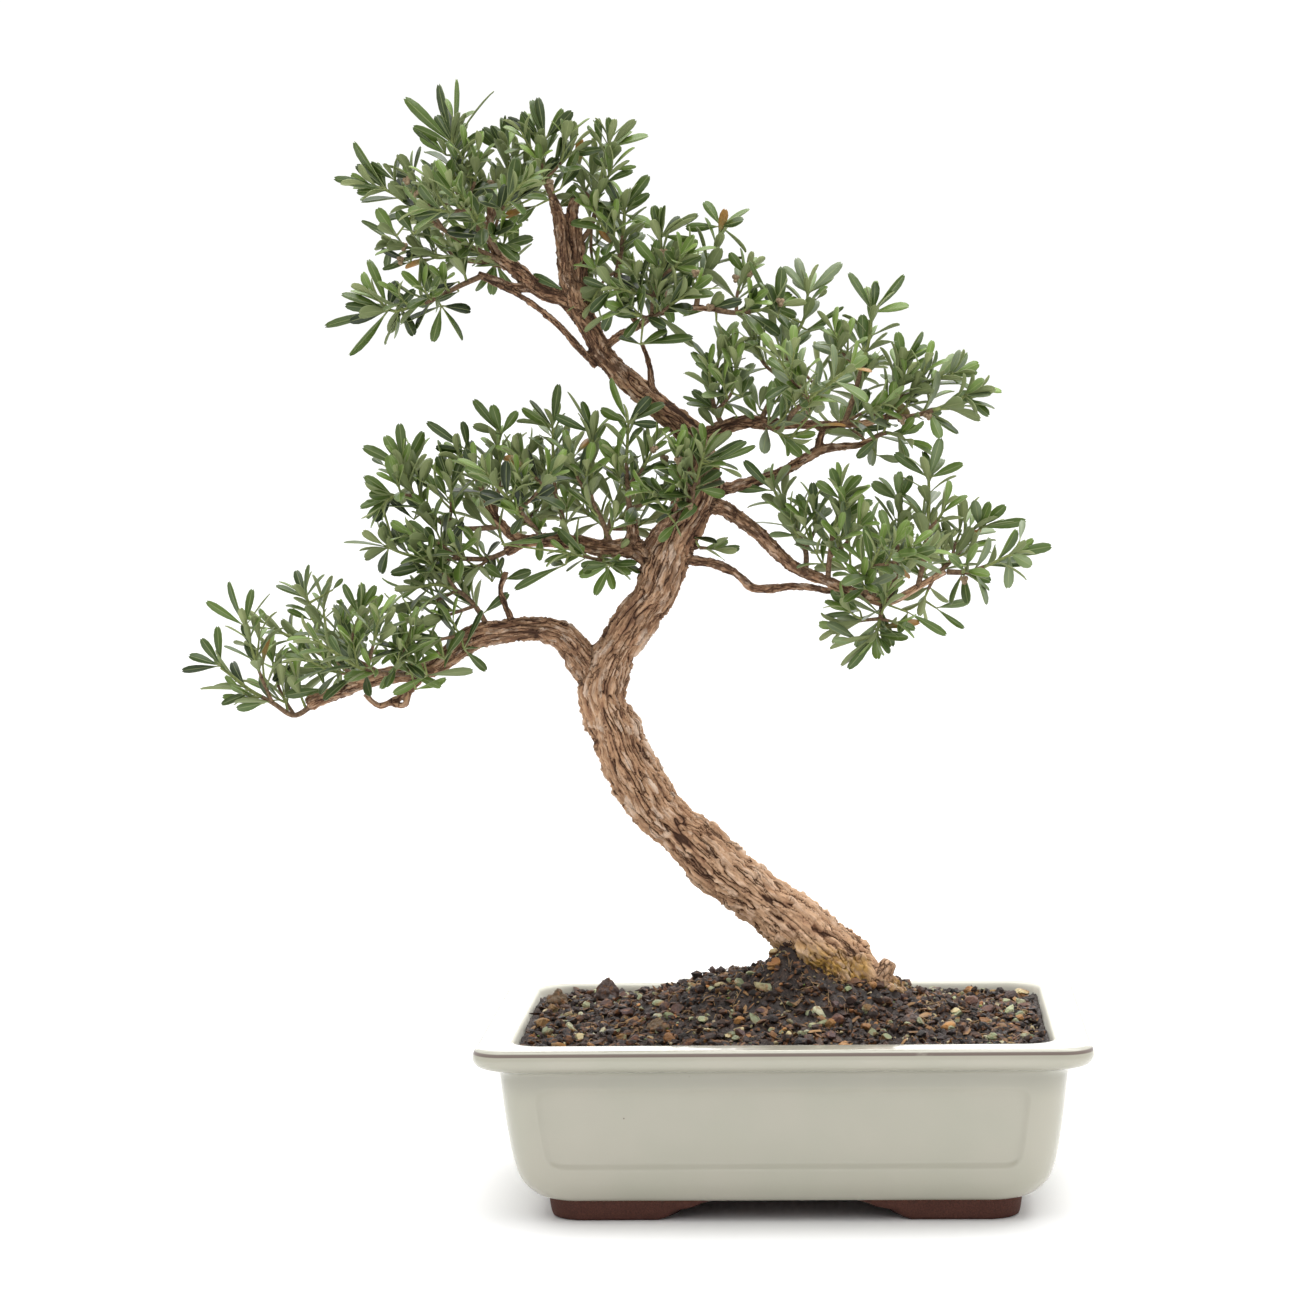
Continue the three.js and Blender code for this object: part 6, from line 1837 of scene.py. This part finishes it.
@dataclass
class Spray:
    """One leafy spray: woody stem, green shoots, and leaves in pairs that stand crosswise in turn."""

    name: str
    paths: list
    seed: int
    pair_gap: float = 7.8
    leaf_length: tuple = (15.5, 22.5)
    leaf_width: float = 0.345
    leafy_stem: float = 38.0
    side_gap: float = 11.5
    side_length: tuple = (8.0, 17.0)
    side_angle: tuple = (0.6, 1.1)
    young_end: float = 15.0
    spent_share: float = 0.004
    shown_length: tuple = (14.5, 17.5)
    shown_width: tuple = (13.5, 18)
    walk_step: float = 2.0
    opening_seed: int = 500
    lift: float = 0.0

    def __post_init__(self) -> None:
        """Seeds the spray, and sets how light its leaves are: right of the trunk they are lighter, and more
        of them take the painted silvery sheen.
        """
        if self.name.startswith("left_low"):
            self.leaf_width = 0.29
        if self.name.startswith("right"):
            self.lift = 0.42
        elif self.name.startswith(("crown", "left_mid")):
            self.lift = -0.28
        self.random = np.random.default_rng(self.seed)
        self.leaves: list[Leaf] = []
        self.woody: list[np.ndarray] = []
        self.green: list[np.ndarray] = []
        self.shown: list[np.ndarray] = []

    def walk(self, places: list, start: float, end: float) -> np.ndarray:
        """Walks along one path.

        Args:
            places: Rows of x, z and depth.
            start: The radius at its start.
            end: The radius at its tip.
        Returns:
            Rows of x, y, z and radius.
        """
        table = np.array(places, float)
        radii = np.linspace(start, end, len(table))
        return smooth_walk(np.column_stack([seen_at(table), radii]), self.walk_step)

    def numbers(self, youth: float) -> list[float]:
        """Draws the numbers that shape one leaf.

        Args:
            youth: From 0, grown, to 1, just opened.
        Returns:
            The numbers, in the order of Row.
        """
        draw = self.random
        length = draw.uniform(*self.leaf_length) * (1 - 0.28 * youth)
        width = length * draw.uniform(self.leaf_width - 0.05, self.leaf_width + 0.05) * (1 - 0.15 * youth)
        bend = draw.uniform(0.08, 0.5)
        spent = 1.0 if draw.random() < self.spent_share else 0.0
        tone = draw.random() + self.lift
        fresh = min(1.0, max(0.0, youth * 0.8 + draw.normal(0, 0.12)))
        return [length, width, bend, draw.uniform(0.1, 0.45), draw.normal(0, 0.25), tone, fresh, spent]

    def add_pair(self, point: np.ndarray, along: np.ndarray, across: np.ndarray, youth: float) -> None:
        """Adds two leaves that face each other across a shoot.

        Args:
            point: The place on the shoot.
            along: The shoot's direction.
            across: The direction from the shoot to one of the leaves.
            youth: From 0, grown, to 1, just opened.
        """
        spread = self.random.uniform(0.5, 0.95) * (1 - 0.45 * youth)
        for side in (-1, 1):
            lean = spread + self.random.normal(0, 0.12)
            direction = along * math.cos(lean) + across * side * math.sin(lean)
            facing = along * math.sin(lean) - across * side * math.cos(lean)
            facing = facing + np.array([0, -0.18, 0.3])
            facing = unit(facing - direction * (facing @ direction))
            self.leaves.append(Leaf(point, direction, facing, self.numbers(youth)))

    def clothe(self, path: np.ndarray, leafy: float, old: float = 0.0) -> None:
        """Sets leaves in pairs along the end of a shoot.

        Args:
            path: Rows of x, y, z and radius.
            leafy: How long the leafy end is.
            old: How far from the tip the youngest leaf is.
        """
        tangents, sides, others = carried_frames(path)
        total = (len(path) - 1) * np.linalg.norm(path[1, :3] - path[0, :3])
        turn = self.random.uniform(0, math.pi)
        distance = old
        while distance < min(leafy, total - 2.0):
            index = (1 - distance / total) * (len(path) - 1)
            row = int(index)
            youth = max(0.0, 1 - distance / self.young_end)
            across = sides[row] * math.cos(turn) + others[row] * math.sin(turn)
            place = path[row, :3] + (path[min(row + 1, len(path) - 1), :3] - path[row, :3]) * (index - row)
            self.add_pair(place, tangents[row], across, youth)
            turn += math.pi / 2 + self.random.normal(0, 0.2)
            distance += self.pair_gap * self.random.uniform(0.75, 1.25) * (0.55 + 0.45 * (1 - youth))

    def side_shoots(self, path: np.ndarray) -> None:
        """Grows short leafy shoots from the side of a stem.

        Args:
            path: The stem's rows of x, y, z and radius.
        """
        tangents, sides, others = carried_frames(path)
        step = np.linalg.norm(path[1, :3] - path[0, :3])
        distance = self.random.uniform(6, 12)
        while distance < (len(path) - 3) * step:
            row = int(distance / step)
            turn = self.random.uniform(0, 2 * math.pi)
            across = sides[row] * math.cos(turn) + others[row] * math.sin(turn)
            lean = self.random.uniform(*self.side_angle)
            heading = tangents[row] * math.cos(lean) + across * math.sin(lean) + np.array([0, 0, 0.35])
            heading[2] = abs(heading[2])
            heading = unit(heading)
            length = self.random.uniform(*self.side_length)
            bend = unit(heading + np.array([0, 0, 0.5]))
            start = path[row, :3]
            middle = start + heading * length * 0.5
            end = middle + bend * length * 0.5
            shoot = np.column_stack([np.array([start, middle, end]), [0.75, 0.6, 0.45]])
            shoot = smooth_walk(shoot, 1.5)
            self.green.append(shoot)
            self.clothe(shoot, length * 0.8)
            distance += self.side_gap * self.random.uniform(0.7, 1.4)

    def grow(self) -> None:
        """Grows the spray's stem, twigs and side shoots, and clothes them."""
        for index, places in enumerate(self.paths):
            path = self.walk(places, *((1.5, 0.7) if index == 0 else (1.0, 0.6)))
            green_from = int(len(path) * 0.55)
            self.woody.append(path[: green_from + 1])
            self.green.append(path[green_from:])
            self.shown.append(path)
            self.clothe(path, self.leafy_stem)
            self.side_shoots(path[: int(len(path) * 0.8)])

    def open_up(self, share: float = 0.42) -> None:
        """Drops some of the leaves where the crown is open.

        Args:
            share: How many go.
        """
        middles = np.array([leaf.base + leaf.direction * leaf.numbers[0] * 0.6 for leaf in self.leaves])
        seen = seen_from_front(middles)
        places = np.array(OPEN_PLACES, float)
        apart = np.linalg.norm(seen[:, None, :] - places[None, :, :2], axis=2) / places[:, 2]
        draws = np.random.default_rng(self.seed + self.opening_seed).random(len(seen))
        dropped = (apart.min(axis=1) < 1) & (draws < share)
        self.leaves = [leaf for leaf, drop in zip(self.leaves, dropped) if not drop]

    def nearest_on_shoots(self, place: Sequence[float]) -> tuple[np.ndarray, float]:
        """Finds the point of the spray's stems that is seen closest to a place.

        Args:
            place: The x and z read from the front.
        Returns:
            The point, and how far off it is seen.
        """
        points = np.vstack(self.shown)[:, :3]
        apart = np.linalg.norm(seen_from_front(points) - np.array(place, float), axis=1)
        best = int(np.argmin(apart))
        return points[best], float(apart[best])

    def show(self, place: Sequence[float], tips: Sequence[Sequence[float]]) -> None:
        """Sets leaves whose tips are seen at given places.

        Args:
            place: The x and z that the leaves spring from, read from the front.
            tips: The x and z of each leaf's tip, and where they were read its width and how spent it is.
        """
        anchor, apart = self.nearest_on_shoots(place)
        depth = anchor[1]
        base = seen_at([[*place, depth]])[0]
        if apart > 1.5:
            rows = np.column_stack([np.array([anchor, (anchor + base) / 2, base]), [0.8, 0.6, 0.5]])
            self.green.append(smooth_walk(rows, self.walk_step))
        for x, z, *marks in tips:
            reach = seen_at([[x, z, depth]])[0] - base
            shown = np.linalg.norm(reach)
            full = max(shown * 1.02, self.random.uniform(*self.shown_length))
            reach[1] = math.sqrt(full**2 - shown**2) * self.random.choice([-1, 1]) * 0.8
            direction = unit(reach)
            roll = self.random.normal(0, 0.35 if marks else 0.75)
            across = unit(np.cross(direction, [0, 1, 0]))
            toward = unit(np.cross(across, direction))
            toward = toward if toward[1] < 0 else -toward
            facing = toward * math.cos(roll) + across * math.sin(roll)
            facing = facing if facing @ np.array([0, -0.6, 1]) > 0 else -facing
            numbers = self.numbers(self.random.uniform(0, 0.5))
            numbers[Row.LENGTH.value] = full
            numbers[Row.BEND.value] = self.random.uniform(0.02, 0.25)
            wide = marks[0] if marks else self.leaf_width * self.random.uniform(*self.shown_width)
            numbers[Row.WIDTH.value] = wide
            if len(marks) > 1:
                numbers[Row.SPENT.value] = marks[1]
            self.leaves.append(Leaf(base, direction, facing, numbers))

    def build(self, press: LeafPress) -> bpy.types.Object:
        """Joins leaves, shoots and stems in one piece.

        Args:
            press: Shapes the leaves.
        Returns:
            The piece, with the materials of leaves, green shoots and woody twigs in turn.
        """
        mesh = press.press(self.leaves)
        mesh.shade_smooth()
        piece = link_piece(f"foliage_{self.name}", mesh)
        bm = bmesh.new()
        bm.from_mesh(mesh)
        for slot, (paths, sides) in enumerate(((self.green, 6), (self.woody, 8)), start=1):
            placed = [np.column_stack([in_frame(p[:, :3]), p[:, 3] * MM]) for p in paths]
            stems = tubes(placed, sides)
            stems.polygons.foreach_set("material_index", np.full(len(stems.polygons), slot, np.int32))
            stems.shade_smooth()
            bm.from_mesh(stems)
        bm.to_mesh(mesh)
        bm.free()
        return piece


@dataclass
class Foliage:
    """Every spray of the tree, with its leaves and seed capsules."""

    seed: int = 40
    leaf: LeafFinish = field(default_factory=LeafFinish)

    def capsules(self, sprays: dict[str, Spray]) -> bpy.types.Object:
        """Builds the small three-lobed seed capsules.

        Args:
            sprays: The sprays that carry them.
        Returns:
            The piece.
        """
        draw = np.random.default_rng(self.seed)
        bm = bmesh.new()
        for name, places in CAPSULES.items():
            for place in places:
                anchor, _ = sprays[name].nearest_on_shoots(place)
                middle = seen_at([[*place, anchor[1] - 2.0]])[0]
                for lobe in range(3):
                    angle = lobe * 2.1 + draw.uniform(0, 1)
                    offset = np.array([math.cos(angle), -0.6, math.sin(angle)]) * 1.1
                    shape = Matrix.Translation(Vector(in_frame([middle + offset])[0]))
                    radius = draw.uniform(1.1, 1.6) * MM
                    bmesh.ops.create_icosphere(bm, subdivisions=2, radius=radius, matrix=shape)
        piece = link_piece("seed_capsules", mesh_from(bm, "seed_capsules"))
        piece.data.shade_smooth()
        return piece

    def dress(self) -> list[bpy.types.Object]:
        """Grows every spray and gives it its finishes.

        Returns:
            The pieces.
        """
        press = LeafPress()
        looks = [self.leaf.material(), GREEN_SHOOT.material(), WOODY_TWIG.material()]
        sprays = {}
        for index, (name, paths) in enumerate(SPRAYS.items()):
            sprays[name] = Spray(name, paths, self.seed + index)
            sprays[name].grow()
            sprays[name].open_up()
        for name, shown in SHOWN_LEAVES.items():
            for place, tips in shown:
                sprays[name].show(place, tips)
        pieces = [
            dressed(spray.build(press), looks, f"spray_{name}") for name, spray in sprays.items()
        ]
        return [*pieces, dressed(self.capsules(sprays), [CAPSULE.material()])]


# Soil and stones


def soil_height(x: np.ndarray, y: np.ndarray) -> np.ndarray:
    """Gives the soil's height: a mound round the trunk on a level bed."""
    wide = np.where(x < MOUND_CENTRE, MOUND_LEFT, MOUND_RIGHT)
    return SOIL_EDGE + MOUND_RISE * np.exp(-(((x - MOUND_CENTRE) / wide) ** 2) - (y / MOUND_DEEP) ** 2)


class Crumb(Enum):
    """What lies loose on the soil: how many, the least and greatest size, how flat, how long, how round."""

    PEAT = (3400, 1.4, 7.2, 0.75, 1.3, 1)
    GRIT = (1000, 1.5, 3.9, 0.65, 1.3, 1)
    BARK_CHIP = (1500, 1.6, 6.4, 0.26, 2.4, 1)
    STONE = (330, 3.4, 8.6, 0.68, 1.25, 2)
    LAVA = (150, 3.5, 9.0, 0.8, 1.15, 2)
    MOSS = (90, 1.2, 3.0, 0.6, 1.1, 1)


HUES = {
    Crumb.PEAT: ("20160f", "2f201a", "3e2a22", "4d362a", "17100e", "2b2121"),
    Crumb.GRIT: ("9a9670", "b3a781", "a98c5a", "b57b42", "c4b392", "77735a", "8a7658", "9c683c", "645243"),
    Crumb.BARK_CHIP: ("3d281d", "553a28", "7a5639", "2a1d17", "9a774f"),
    Crumb.STONE: ("aeb48f", "c4c3a5", "a97a45", "8e6236", "9fa788", "c6b88f", "7f8967", "8b6b40"),
    Crumb.LAVA: ("38302e", "4a3a38", "5d3d33", "4a322b", "6b4a3c", "503a3a"),
    Crumb.MOSS: ("4d6a22", "6c8a30", "5a7428"),
}


@dataclass
class Bed:
    """The soil and everything that lies on it."""

    edge_inset: tuple = (20.3, 19.9)
    grid_step: float = 1.05
    # The levels below the soil's edge, and how far in the pot's inner wall is at each height
    levels_below: tuple = (70.0, 45.0, 24.0, FLOOR_HEIGHT + 0.4)
    wall_heights: tuple = (18.0, 24.0, 45.0, 70.0, 79.0)
    wall_insets: tuple = ((44.4, 36.4, 27.9, 22.9, 20.3), (33.4, 27.4, 23.9, 21.4, 19.9))
    # The heap at the trunk's foot: how high it is, its middle, and its reach each way
    heap: tuple = (12.0, 0.5, -9.0, 9.0, 13.0)
    edge_gap: float = 3.0
    crumb_cuts: int = 7
    fibres: int = 420
    fibre_gap: float = 12.0
    stone_hues: tuple = ("584946", "63503a")
    stone_seed: int = 300
    seed: int = 91
    finish: SoilFinish = field(default_factory=SoilFinish)
    stone: StoneFinish = field(default_factory=StoneFinish)

    def __post_init__(self) -> None:
        """Sets up the bed's size and its patterns."""
        self.pattern = Pattern(self.seed)
        self.half_x = POT_LENGTH / 2 - self.edge_inset[0]
        self.half_y = POT_DEPTH / 2 - self.edge_inset[1]
        self.corner = corner_radius(self.edge_inset[1])

    def surface(self, x: np.ndarray, y: np.ndarray) -> tuple[np.ndarray, np.ndarray]:
        """Gives the height of the crumbly surface.

        Args:
            x: Places from the pot's middle.
            y: The same, from front to back.
        Returns:
            The height, and how far it stands out from 0 to 1.
        """
        flat = np.column_stack([x, y, np.zeros(len(x))])
        rolling = 1.6 * self.pattern.cloud(flat, 24.0, 2)
        gap, mark = self.pattern.cells(flat + 5, 4.6)
        small, _ = self.pattern.cells(flat + 77, 2.2)
        crumb = ease(0.0, 0.5, gap) * (0.4 + 0.6 * mark) + 0.4 * ease(0, 0.45, small)
        rough = 0.9 * self.pattern.cloud(flat, 2.6, 2)
        edge = np.minimum(self.half_x - np.abs(x), self.half_y - np.abs(y))
        rise, middle_x, middle_y, wide, deep = self.heap
        heap = rise * np.exp(-(((x - middle_x) / wide) ** 2) - ((y - middle_y) / deep) ** 2)
        level = soil_height(x, y) + heap + rolling + 2.2 * crumb + rough + 0.5 + 0.7 * (1 - ease(0, 9, edge))
        return level, np.clip(crumb / 1.3, 0, 1)

    def build_soil(self) -> bpy.types.Object:
        """Builds the soil as one closed body.

        Returns:
            The piece.
        """
        bm = bmesh.new()
        columns = int(2 * self.half_x / self.grid_step)
        rows = int(2 * self.half_y / self.grid_step)
        bmesh.ops.create_grid(bm, x_segments=columns, y_segments=rows, size=1)
        edges = [edge for edge in bm.edges if edge.is_boundary]
        shape = np.array([vert.co for vert in bm.verts])
        x, y = self.fit_corners(shape[:, 0] * self.half_x, shape[:, 1] * self.half_y)
        level, crumb = self.surface(x, y)
        place_verts(bm.verts, np.column_stack([x, y, level]))
        ring = [vert for vert in bm.verts if vert.is_boundary]
        for height in self.levels_below:
            edges, ring = next_ring(bm, edges, ring)
            places = from_frame([vert.co for vert in ring])
            places[:, 0] *= 1 - self.step_in(height, 0) / self.half_x
            places[:, 1] *= 1 - self.step_in(height, 1) / self.half_y
            places[:, 2] = height
            place_verts(ring, places)
        bmesh.ops.contextual_create(bm, geom=edges)
        bmesh.ops.recalc_face_normals(bm, faces=bm.faces)
        values = np.zeros((len(bm.verts), 3))
        values[: len(crumb), 0] = crumb
        dry = self.pattern.cloud(np.column_stack([x, y, y * 0]), 30.0, 2)
        values[: len(crumb), 1] = ease(0.0, 0.8, dry)
        piece = link_piece("soil_bed", mesh_from(bm, "soil_bed"))
        paint(piece.data, "crumb", values)
        piece.data.shade_smooth()
        return piece

    def step_in(self, height: float, axis: int) -> float:
        """Gives how much further in the pot's inner wall is than at the soil's edge.

        Args:
            height: The height on the wall.
            axis: 0 towards the ends, 1 towards the front and back.
        Returns:
            The distance in millimetres.
        """
        insets = self.wall_insets[axis]
        return float(np.interp(height, self.wall_heights, insets) - insets[-1])

    def fit_corners(self, x: np.ndarray, y: np.ndarray) -> tuple[np.ndarray, np.ndarray]:
        """Draws the corners of a rectangle in to round ones.

        Args:
            x: Places from the pot's middle.
            y: The same, from front to back.
        Returns:
            The drawn in places.
        """
        in_x = np.maximum(np.abs(x) - (self.half_x - self.corner), 0)
        in_y = np.maximum(np.abs(y) - (self.half_y - self.corner), 0)
        share = np.maximum(in_x, in_y) / np.maximum(np.hypot(in_x, in_y), 1e-9)
        share = np.where((in_x > 0) & (in_y > 0), share, 1)
        new_x = np.sign(x) * (np.abs(x) - in_x + in_x * share)
        new_y = np.sign(y) * (np.abs(y) - in_y + in_y * share)
        return new_x, new_y

    def build_loose(self, kind: Crumb, seed: int) -> bpy.types.Object:
        """Scatters one kind of crumb over the soil.

        Args:
            kind: What it is.
            seed: Seeds the scatter.
        Returns:
            The piece.
        """
        count, least, greatest, flat, long, facets = kind.value
        draw = np.random.default_rng(seed)
        bm = bmesh.new()
        bmesh.ops.create_icosphere(bm, subdivisions=facets, radius=1)
        blank = mesh_from(bm, "crumb_blank")
        shape = vertices_of(blank)
        x = draw.uniform(-self.half_x + self.edge_gap, self.half_x - self.edge_gap, count)
        y = draw.uniform(-self.half_y + self.edge_gap, self.half_y - self.edge_gap, count)
        x, y = self.fit_corners(x, y)
        level, _ = self.surface(x, y)
        size = least + (greatest - least) * draw.random(count) ** 2.2
        radius = size / 2
        stretch = np.column_stack([long * draw.uniform(0.8, 1.2, count), draw.uniform(0.8, 1.1, count),
                                   flat * draw.uniform(0.8, 1.3, count)])
        points = shape[None] * np.ones((count, 1, 1))
        for _ in range(self.crumb_cuts):
            cut = unit(draw.normal(0, 1, (count, 3)))[:, None, :]
            beyond = (points * cut).sum(2, keepdims=True) - draw.uniform(0.35, 0.78, (count, 1, 1))
            points = points - cut * np.maximum(beyond, 0)
        points = points * (1 + draw.uniform(-0.07, 0.07, (count, len(shape), 1))) * stretch[:, None, :]
        turns = draw.uniform(0, 2 * math.pi, count)
        tilts = draw.normal(0, 0.35, (count, 2))
        turned = np.array([
            np.array(Matrix.Rotation(a, 3, "Z") @ Matrix.Rotation(b, 3, "X") @ Matrix.Rotation(c, 3, "Y"))
            for a, (b, c) in zip(turns, tilts)
        ])
        points = np.einsum("nij,nvj->nvi", turned, points) * radius[:, None, None]
        middles = np.column_stack([x, y, level + radius * flat * 0.45])
        mesh = stamped(blank, count)
        move_vertices(mesh, in_frame((points + middles[:, None, :]).reshape(-1, 3)))
        hues = np.array([color_of(digits)[:3] for digits in HUES[kind]])
        picked = hues[draw.integers(0, len(hues), count)] * draw.uniform(0.75, 1.2, (count, 1))
        stained = hues[draw.integers(0, len(hues), count)] * draw.uniform(0.55, 1.0, (count, 1))
        aim = unit(draw.normal(0, 1, (count, 3)) - [0, 0, 0.8])
        share = ease(-0.3, 0.5, np.einsum("nj,vj->nv", aim, shape))[:, :, None]
        mixed = picked[:, None, :] * (1 - share) + stained[:, None, :] * share
        paint(mesh, "hue", mixed.reshape(-1, 3))
        return link_piece(f"loose_{kind.name.lower()}", mesh)

    def build_fibres(self) -> bpy.types.Object:
        """Lays rootlets and bark fibres over the soil.

        Returns:
            The piece.
        """
        draw = np.random.default_rng(self.seed + 5)
        paths = []
        for _ in range(self.fibres):
            x = draw.uniform(-self.half_x + self.fibre_gap, self.half_x - self.fibre_gap)
            y = draw.uniform(-self.half_y + self.fibre_gap, self.half_y - self.fibre_gap)
            length = 4 + 16 * draw.random() ** 2
            heading = draw.uniform(0, 2 * math.pi)
            curl = draw.normal(0, 0.9)
            shares = np.linspace(0, 1, 6)
            angles = heading + curl * shares
            across = np.cumsum(np.column_stack([np.cos(angles), np.sin(angles)]), axis=0) * length / 6
            px = np.clip(x + across[:, 0], -self.half_x + self.edge_gap, self.half_x - self.edge_gap)
            py = np.clip(y + across[:, 1], -self.half_y + self.edge_gap, self.half_y - self.edge_gap)
            level, _ = self.surface(px, py)
            arch = draw.uniform(0.4, 2.2) * np.sin(shares * math.pi)
            radius = draw.uniform(0.14, 0.38) * (1 - 0.5 * shares)
            rows = np.column_stack([in_frame(np.column_stack([px, py, level + 0.4 + arch])), radius * MM])
            paths.append(rows)
        piece = link_piece("soil_fibres", tubes(paths, 4))
        piece.data.shade_smooth()
        return piece

    def build_stone(self, index: int) -> bpy.types.Object:
        """Builds one of the larger stones.

        Args:
            index: Which of the listed stones.
        Returns:
            The piece.
        """
        x, y, radius, flat, rise = LOOSE_STONES[index]
        bm = bmesh.new()
        bmesh.ops.create_icosphere(bm, subdivisions=5, radius=1)
        points = np.array([vert.co for vert in bm.verts])
        pattern = Pattern(self.stone_seed + index)
        bulk = 1 + 0.2 * pattern.cloud(points, 0.8, 2)
        facets, _ = pattern.cells(points, 0.75)
        pits, _ = pattern.cells(points + 9, 0.16)
        size = radius * 0.96 * bulk * (0.86 + 0.16 * ease(0, 0.6, facets))
        size = size - 0.35 * (1 - ease(0.05, 0.4, pits))
        level = float(soil_height(np.array([x]), np.array([y]))[0]) + radius * flat * 0.35
        taper = 1 - 0.42 * points[:, 2:]
        shape = points * size[:, None] * np.hstack([taper, taper, np.full_like(taper, flat)])
        place_verts(bm.verts, shape + [x, y, level + rise])
        piece = link_piece(f"stone_{index + 1}", mesh_from(bm, "stone"))
        hue = color_of(self.stone_hues[index % 2])[:3]
        paint(piece.data, "hue", np.tile(hue, (len(points), 1)))
        piece.data.shade_smooth()
        return piece

    def dress(self) -> list[bpy.types.Object]:
        """Builds the bed's pieces and gives them their finishes.

        Returns:
            The pieces.
        """
        stone = self.stone.material()
        pieces = [dressed(self.build_soil(), [self.finish.material()], "potting_soil")]
        for offset, kind in enumerate(Crumb):
            pieces.append(dressed(self.build_loose(kind, self.seed + 10 + offset), [stone]))
        pieces.append(dressed(self.build_fibres(), [ROOT_FIBRE.material()]))
        for index in range(len(LOOSE_STONES)):
            pieces.append(dressed(self.build_stone(index), [stone], f"grit_stone_{index + 1}"))
        return pieces


# Screens and clips, which keep the frame's own meshes


@dataclass
class DrainCovers:
    """The mesh screens over the drainage holes and the wires that hold them."""

    screen: ScreenFinish = field(default_factory=ScreenFinish)
    wire: WireFinish = field(default_factory=WireFinish)

    def dress(self) -> list[bpy.types.Object]:
        """Gives the frame's screens and clips their finishes.

        Returns:
            The frame's nodes.
        """
        nodes = []
        looks = {"drainage_screen": self.screen.material(), "screen_clip": self.wire.material()}
        for kind, look in looks.items():
            for side in ("left", "right"):
                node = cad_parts[f"{kind}_{side}"]
                node.data.materials.clear()
                node.data.materials.append(look)
                nodes.append(node)
        return nodes


# Studio


@dataclass
class Studio:
    """A pale floor, soft light all round and the camera of the photograph."""

    floor_size: float = 60.0
    front: float = 0.36
    behind: float = 0.55
    above: float = 0.95
    glow: float = 2.0
    haze: float = 1.06

    def build_floor(self) -> None:
        """Lays the floor that the pot stands on."""
        bm = bmesh.new()
        bmesh.ops.create_grid(bm, x_segments=1, y_segments=1, size=self.floor_size / 2)
        floor = link_piece("floor", mesh_from(bm, "floor"))
        shader = Shader(
            "pale_floor", Base_Color=(0.93, 0.93, 0.93, 1), Roughness=0.6, Specular_IOR_Level=0.2
        )
        floor.data.materials.append(shader.material)

    def build_light(self, name: str, place: tuple, aim: tuple, size: float, watts: float) -> None:
        """Hangs one soft box.

        Args:
            name: The light's name.
            place: Where it hangs, in metres.
            aim: The point that it faces.
            size: The side of its square face.
            watts: How strong it is.
        """
        data = bpy.data.lights.new(name, "AREA")
        data.size = size
        data.energy = watts
        light = bpy.data.objects.new(name, data)
        light.location = place
        light.rotation_euler = (Vector(aim) - Vector(place)).to_track_quat("-Z", "Y").to_euler()
        bpy.context.scene.collection.objects.link(light)

    def build_sky(self) -> None:
        """Surrounds the object with soft white light, brighter from above and behind than in front."""
        world = bpy.data.worlds.new("studio")
        world.use_nodes = True
        nodes = NodeTree(world.node_tree)
        _, back, up = nodes.parts(nodes.node("ShaderNodeTexCoord", output="Generated"))
        screen = back.rise(0.86, 0.95) * up.rise(0.5, 0.3)
        sides = self.behind * back.rise(-0.35, 0.75) + self.above * up.rise(0.1, 0.9)
        backdrop = (back.rise(0.85, 0.95) * up.rise(0.17, 0.12)).greater(up.rise(0.05, 0.02))
        strength = (self.front + sides + self.glow * screen) * (1 - backdrop) + self.haze * backdrop
        background = world.node_tree.nodes["Background"]
        background.inputs["Color"].default_value = (1, 1, 1, 1)
        world.node_tree.links.new(strength.socket, background.inputs["Strength"])
        bpy.context.scene.world = world

    def build_camera(self) -> None:
        """Sets the camera where the photograph was taken from."""
        forward = np.array([
            -math.sin(YAW) * math.cos(PITCH), math.cos(YAW) * math.cos(PITCH), -math.sin(PITCH)
        ])
        level = np.array([math.cos(YAW), math.sin(YAW), 0.0])
        upright = np.cross(level, forward)
        right = math.cos(ROLL) * level + math.sin(ROLL) * upright
        up = math.cos(ROLL) * upright - math.sin(ROLL) * level
        data = bpy.data.cameras.new("camera")
        data.sensor_fit = "HORIZONTAL"
        data.angle = 2 * math.atan(FRAME_WIDTH / 2 / FOCAL_PIXELS)
        camera = bpy.data.objects.new("camera", data)
        turn = Matrix(np.column_stack([right, up, -forward]).tolist()).to_4x4()
        camera.matrix_world = Matrix.Translation(Vector(in_frame([EYE])[0])) @ turn
        bpy.context.scene.collection.objects.link(camera)
        bpy.context.scene.camera = camera

    def build(self) -> None:
        """Builds floor, lights and camera."""
        self.build_floor()
        self.build_sky()
        self.build_light("top", place=(0.22, 0.2, 1.9), aim=(0.05, 0, 0.2), size=2.1, watts=32)
        self.build_camera()
        view = bpy.context.scene.view_settings
        view.view_transform = "Standard"
        view.look = "None"


def main() -> None:
    """Builds the bonsai piece by piece around the frame, and reports each piece."""
    logging.basicConfig(level=logging.INFO, format="%(message)s")
    Studio().build()
    for part in (Pot, Tree, Foliage, Bed, DrainCovers):
        for piece in part().dress():
            log.info("%s: %d faces", piece.name, len(piece.data.polygons))


if __name__ == "__main__":
    main()
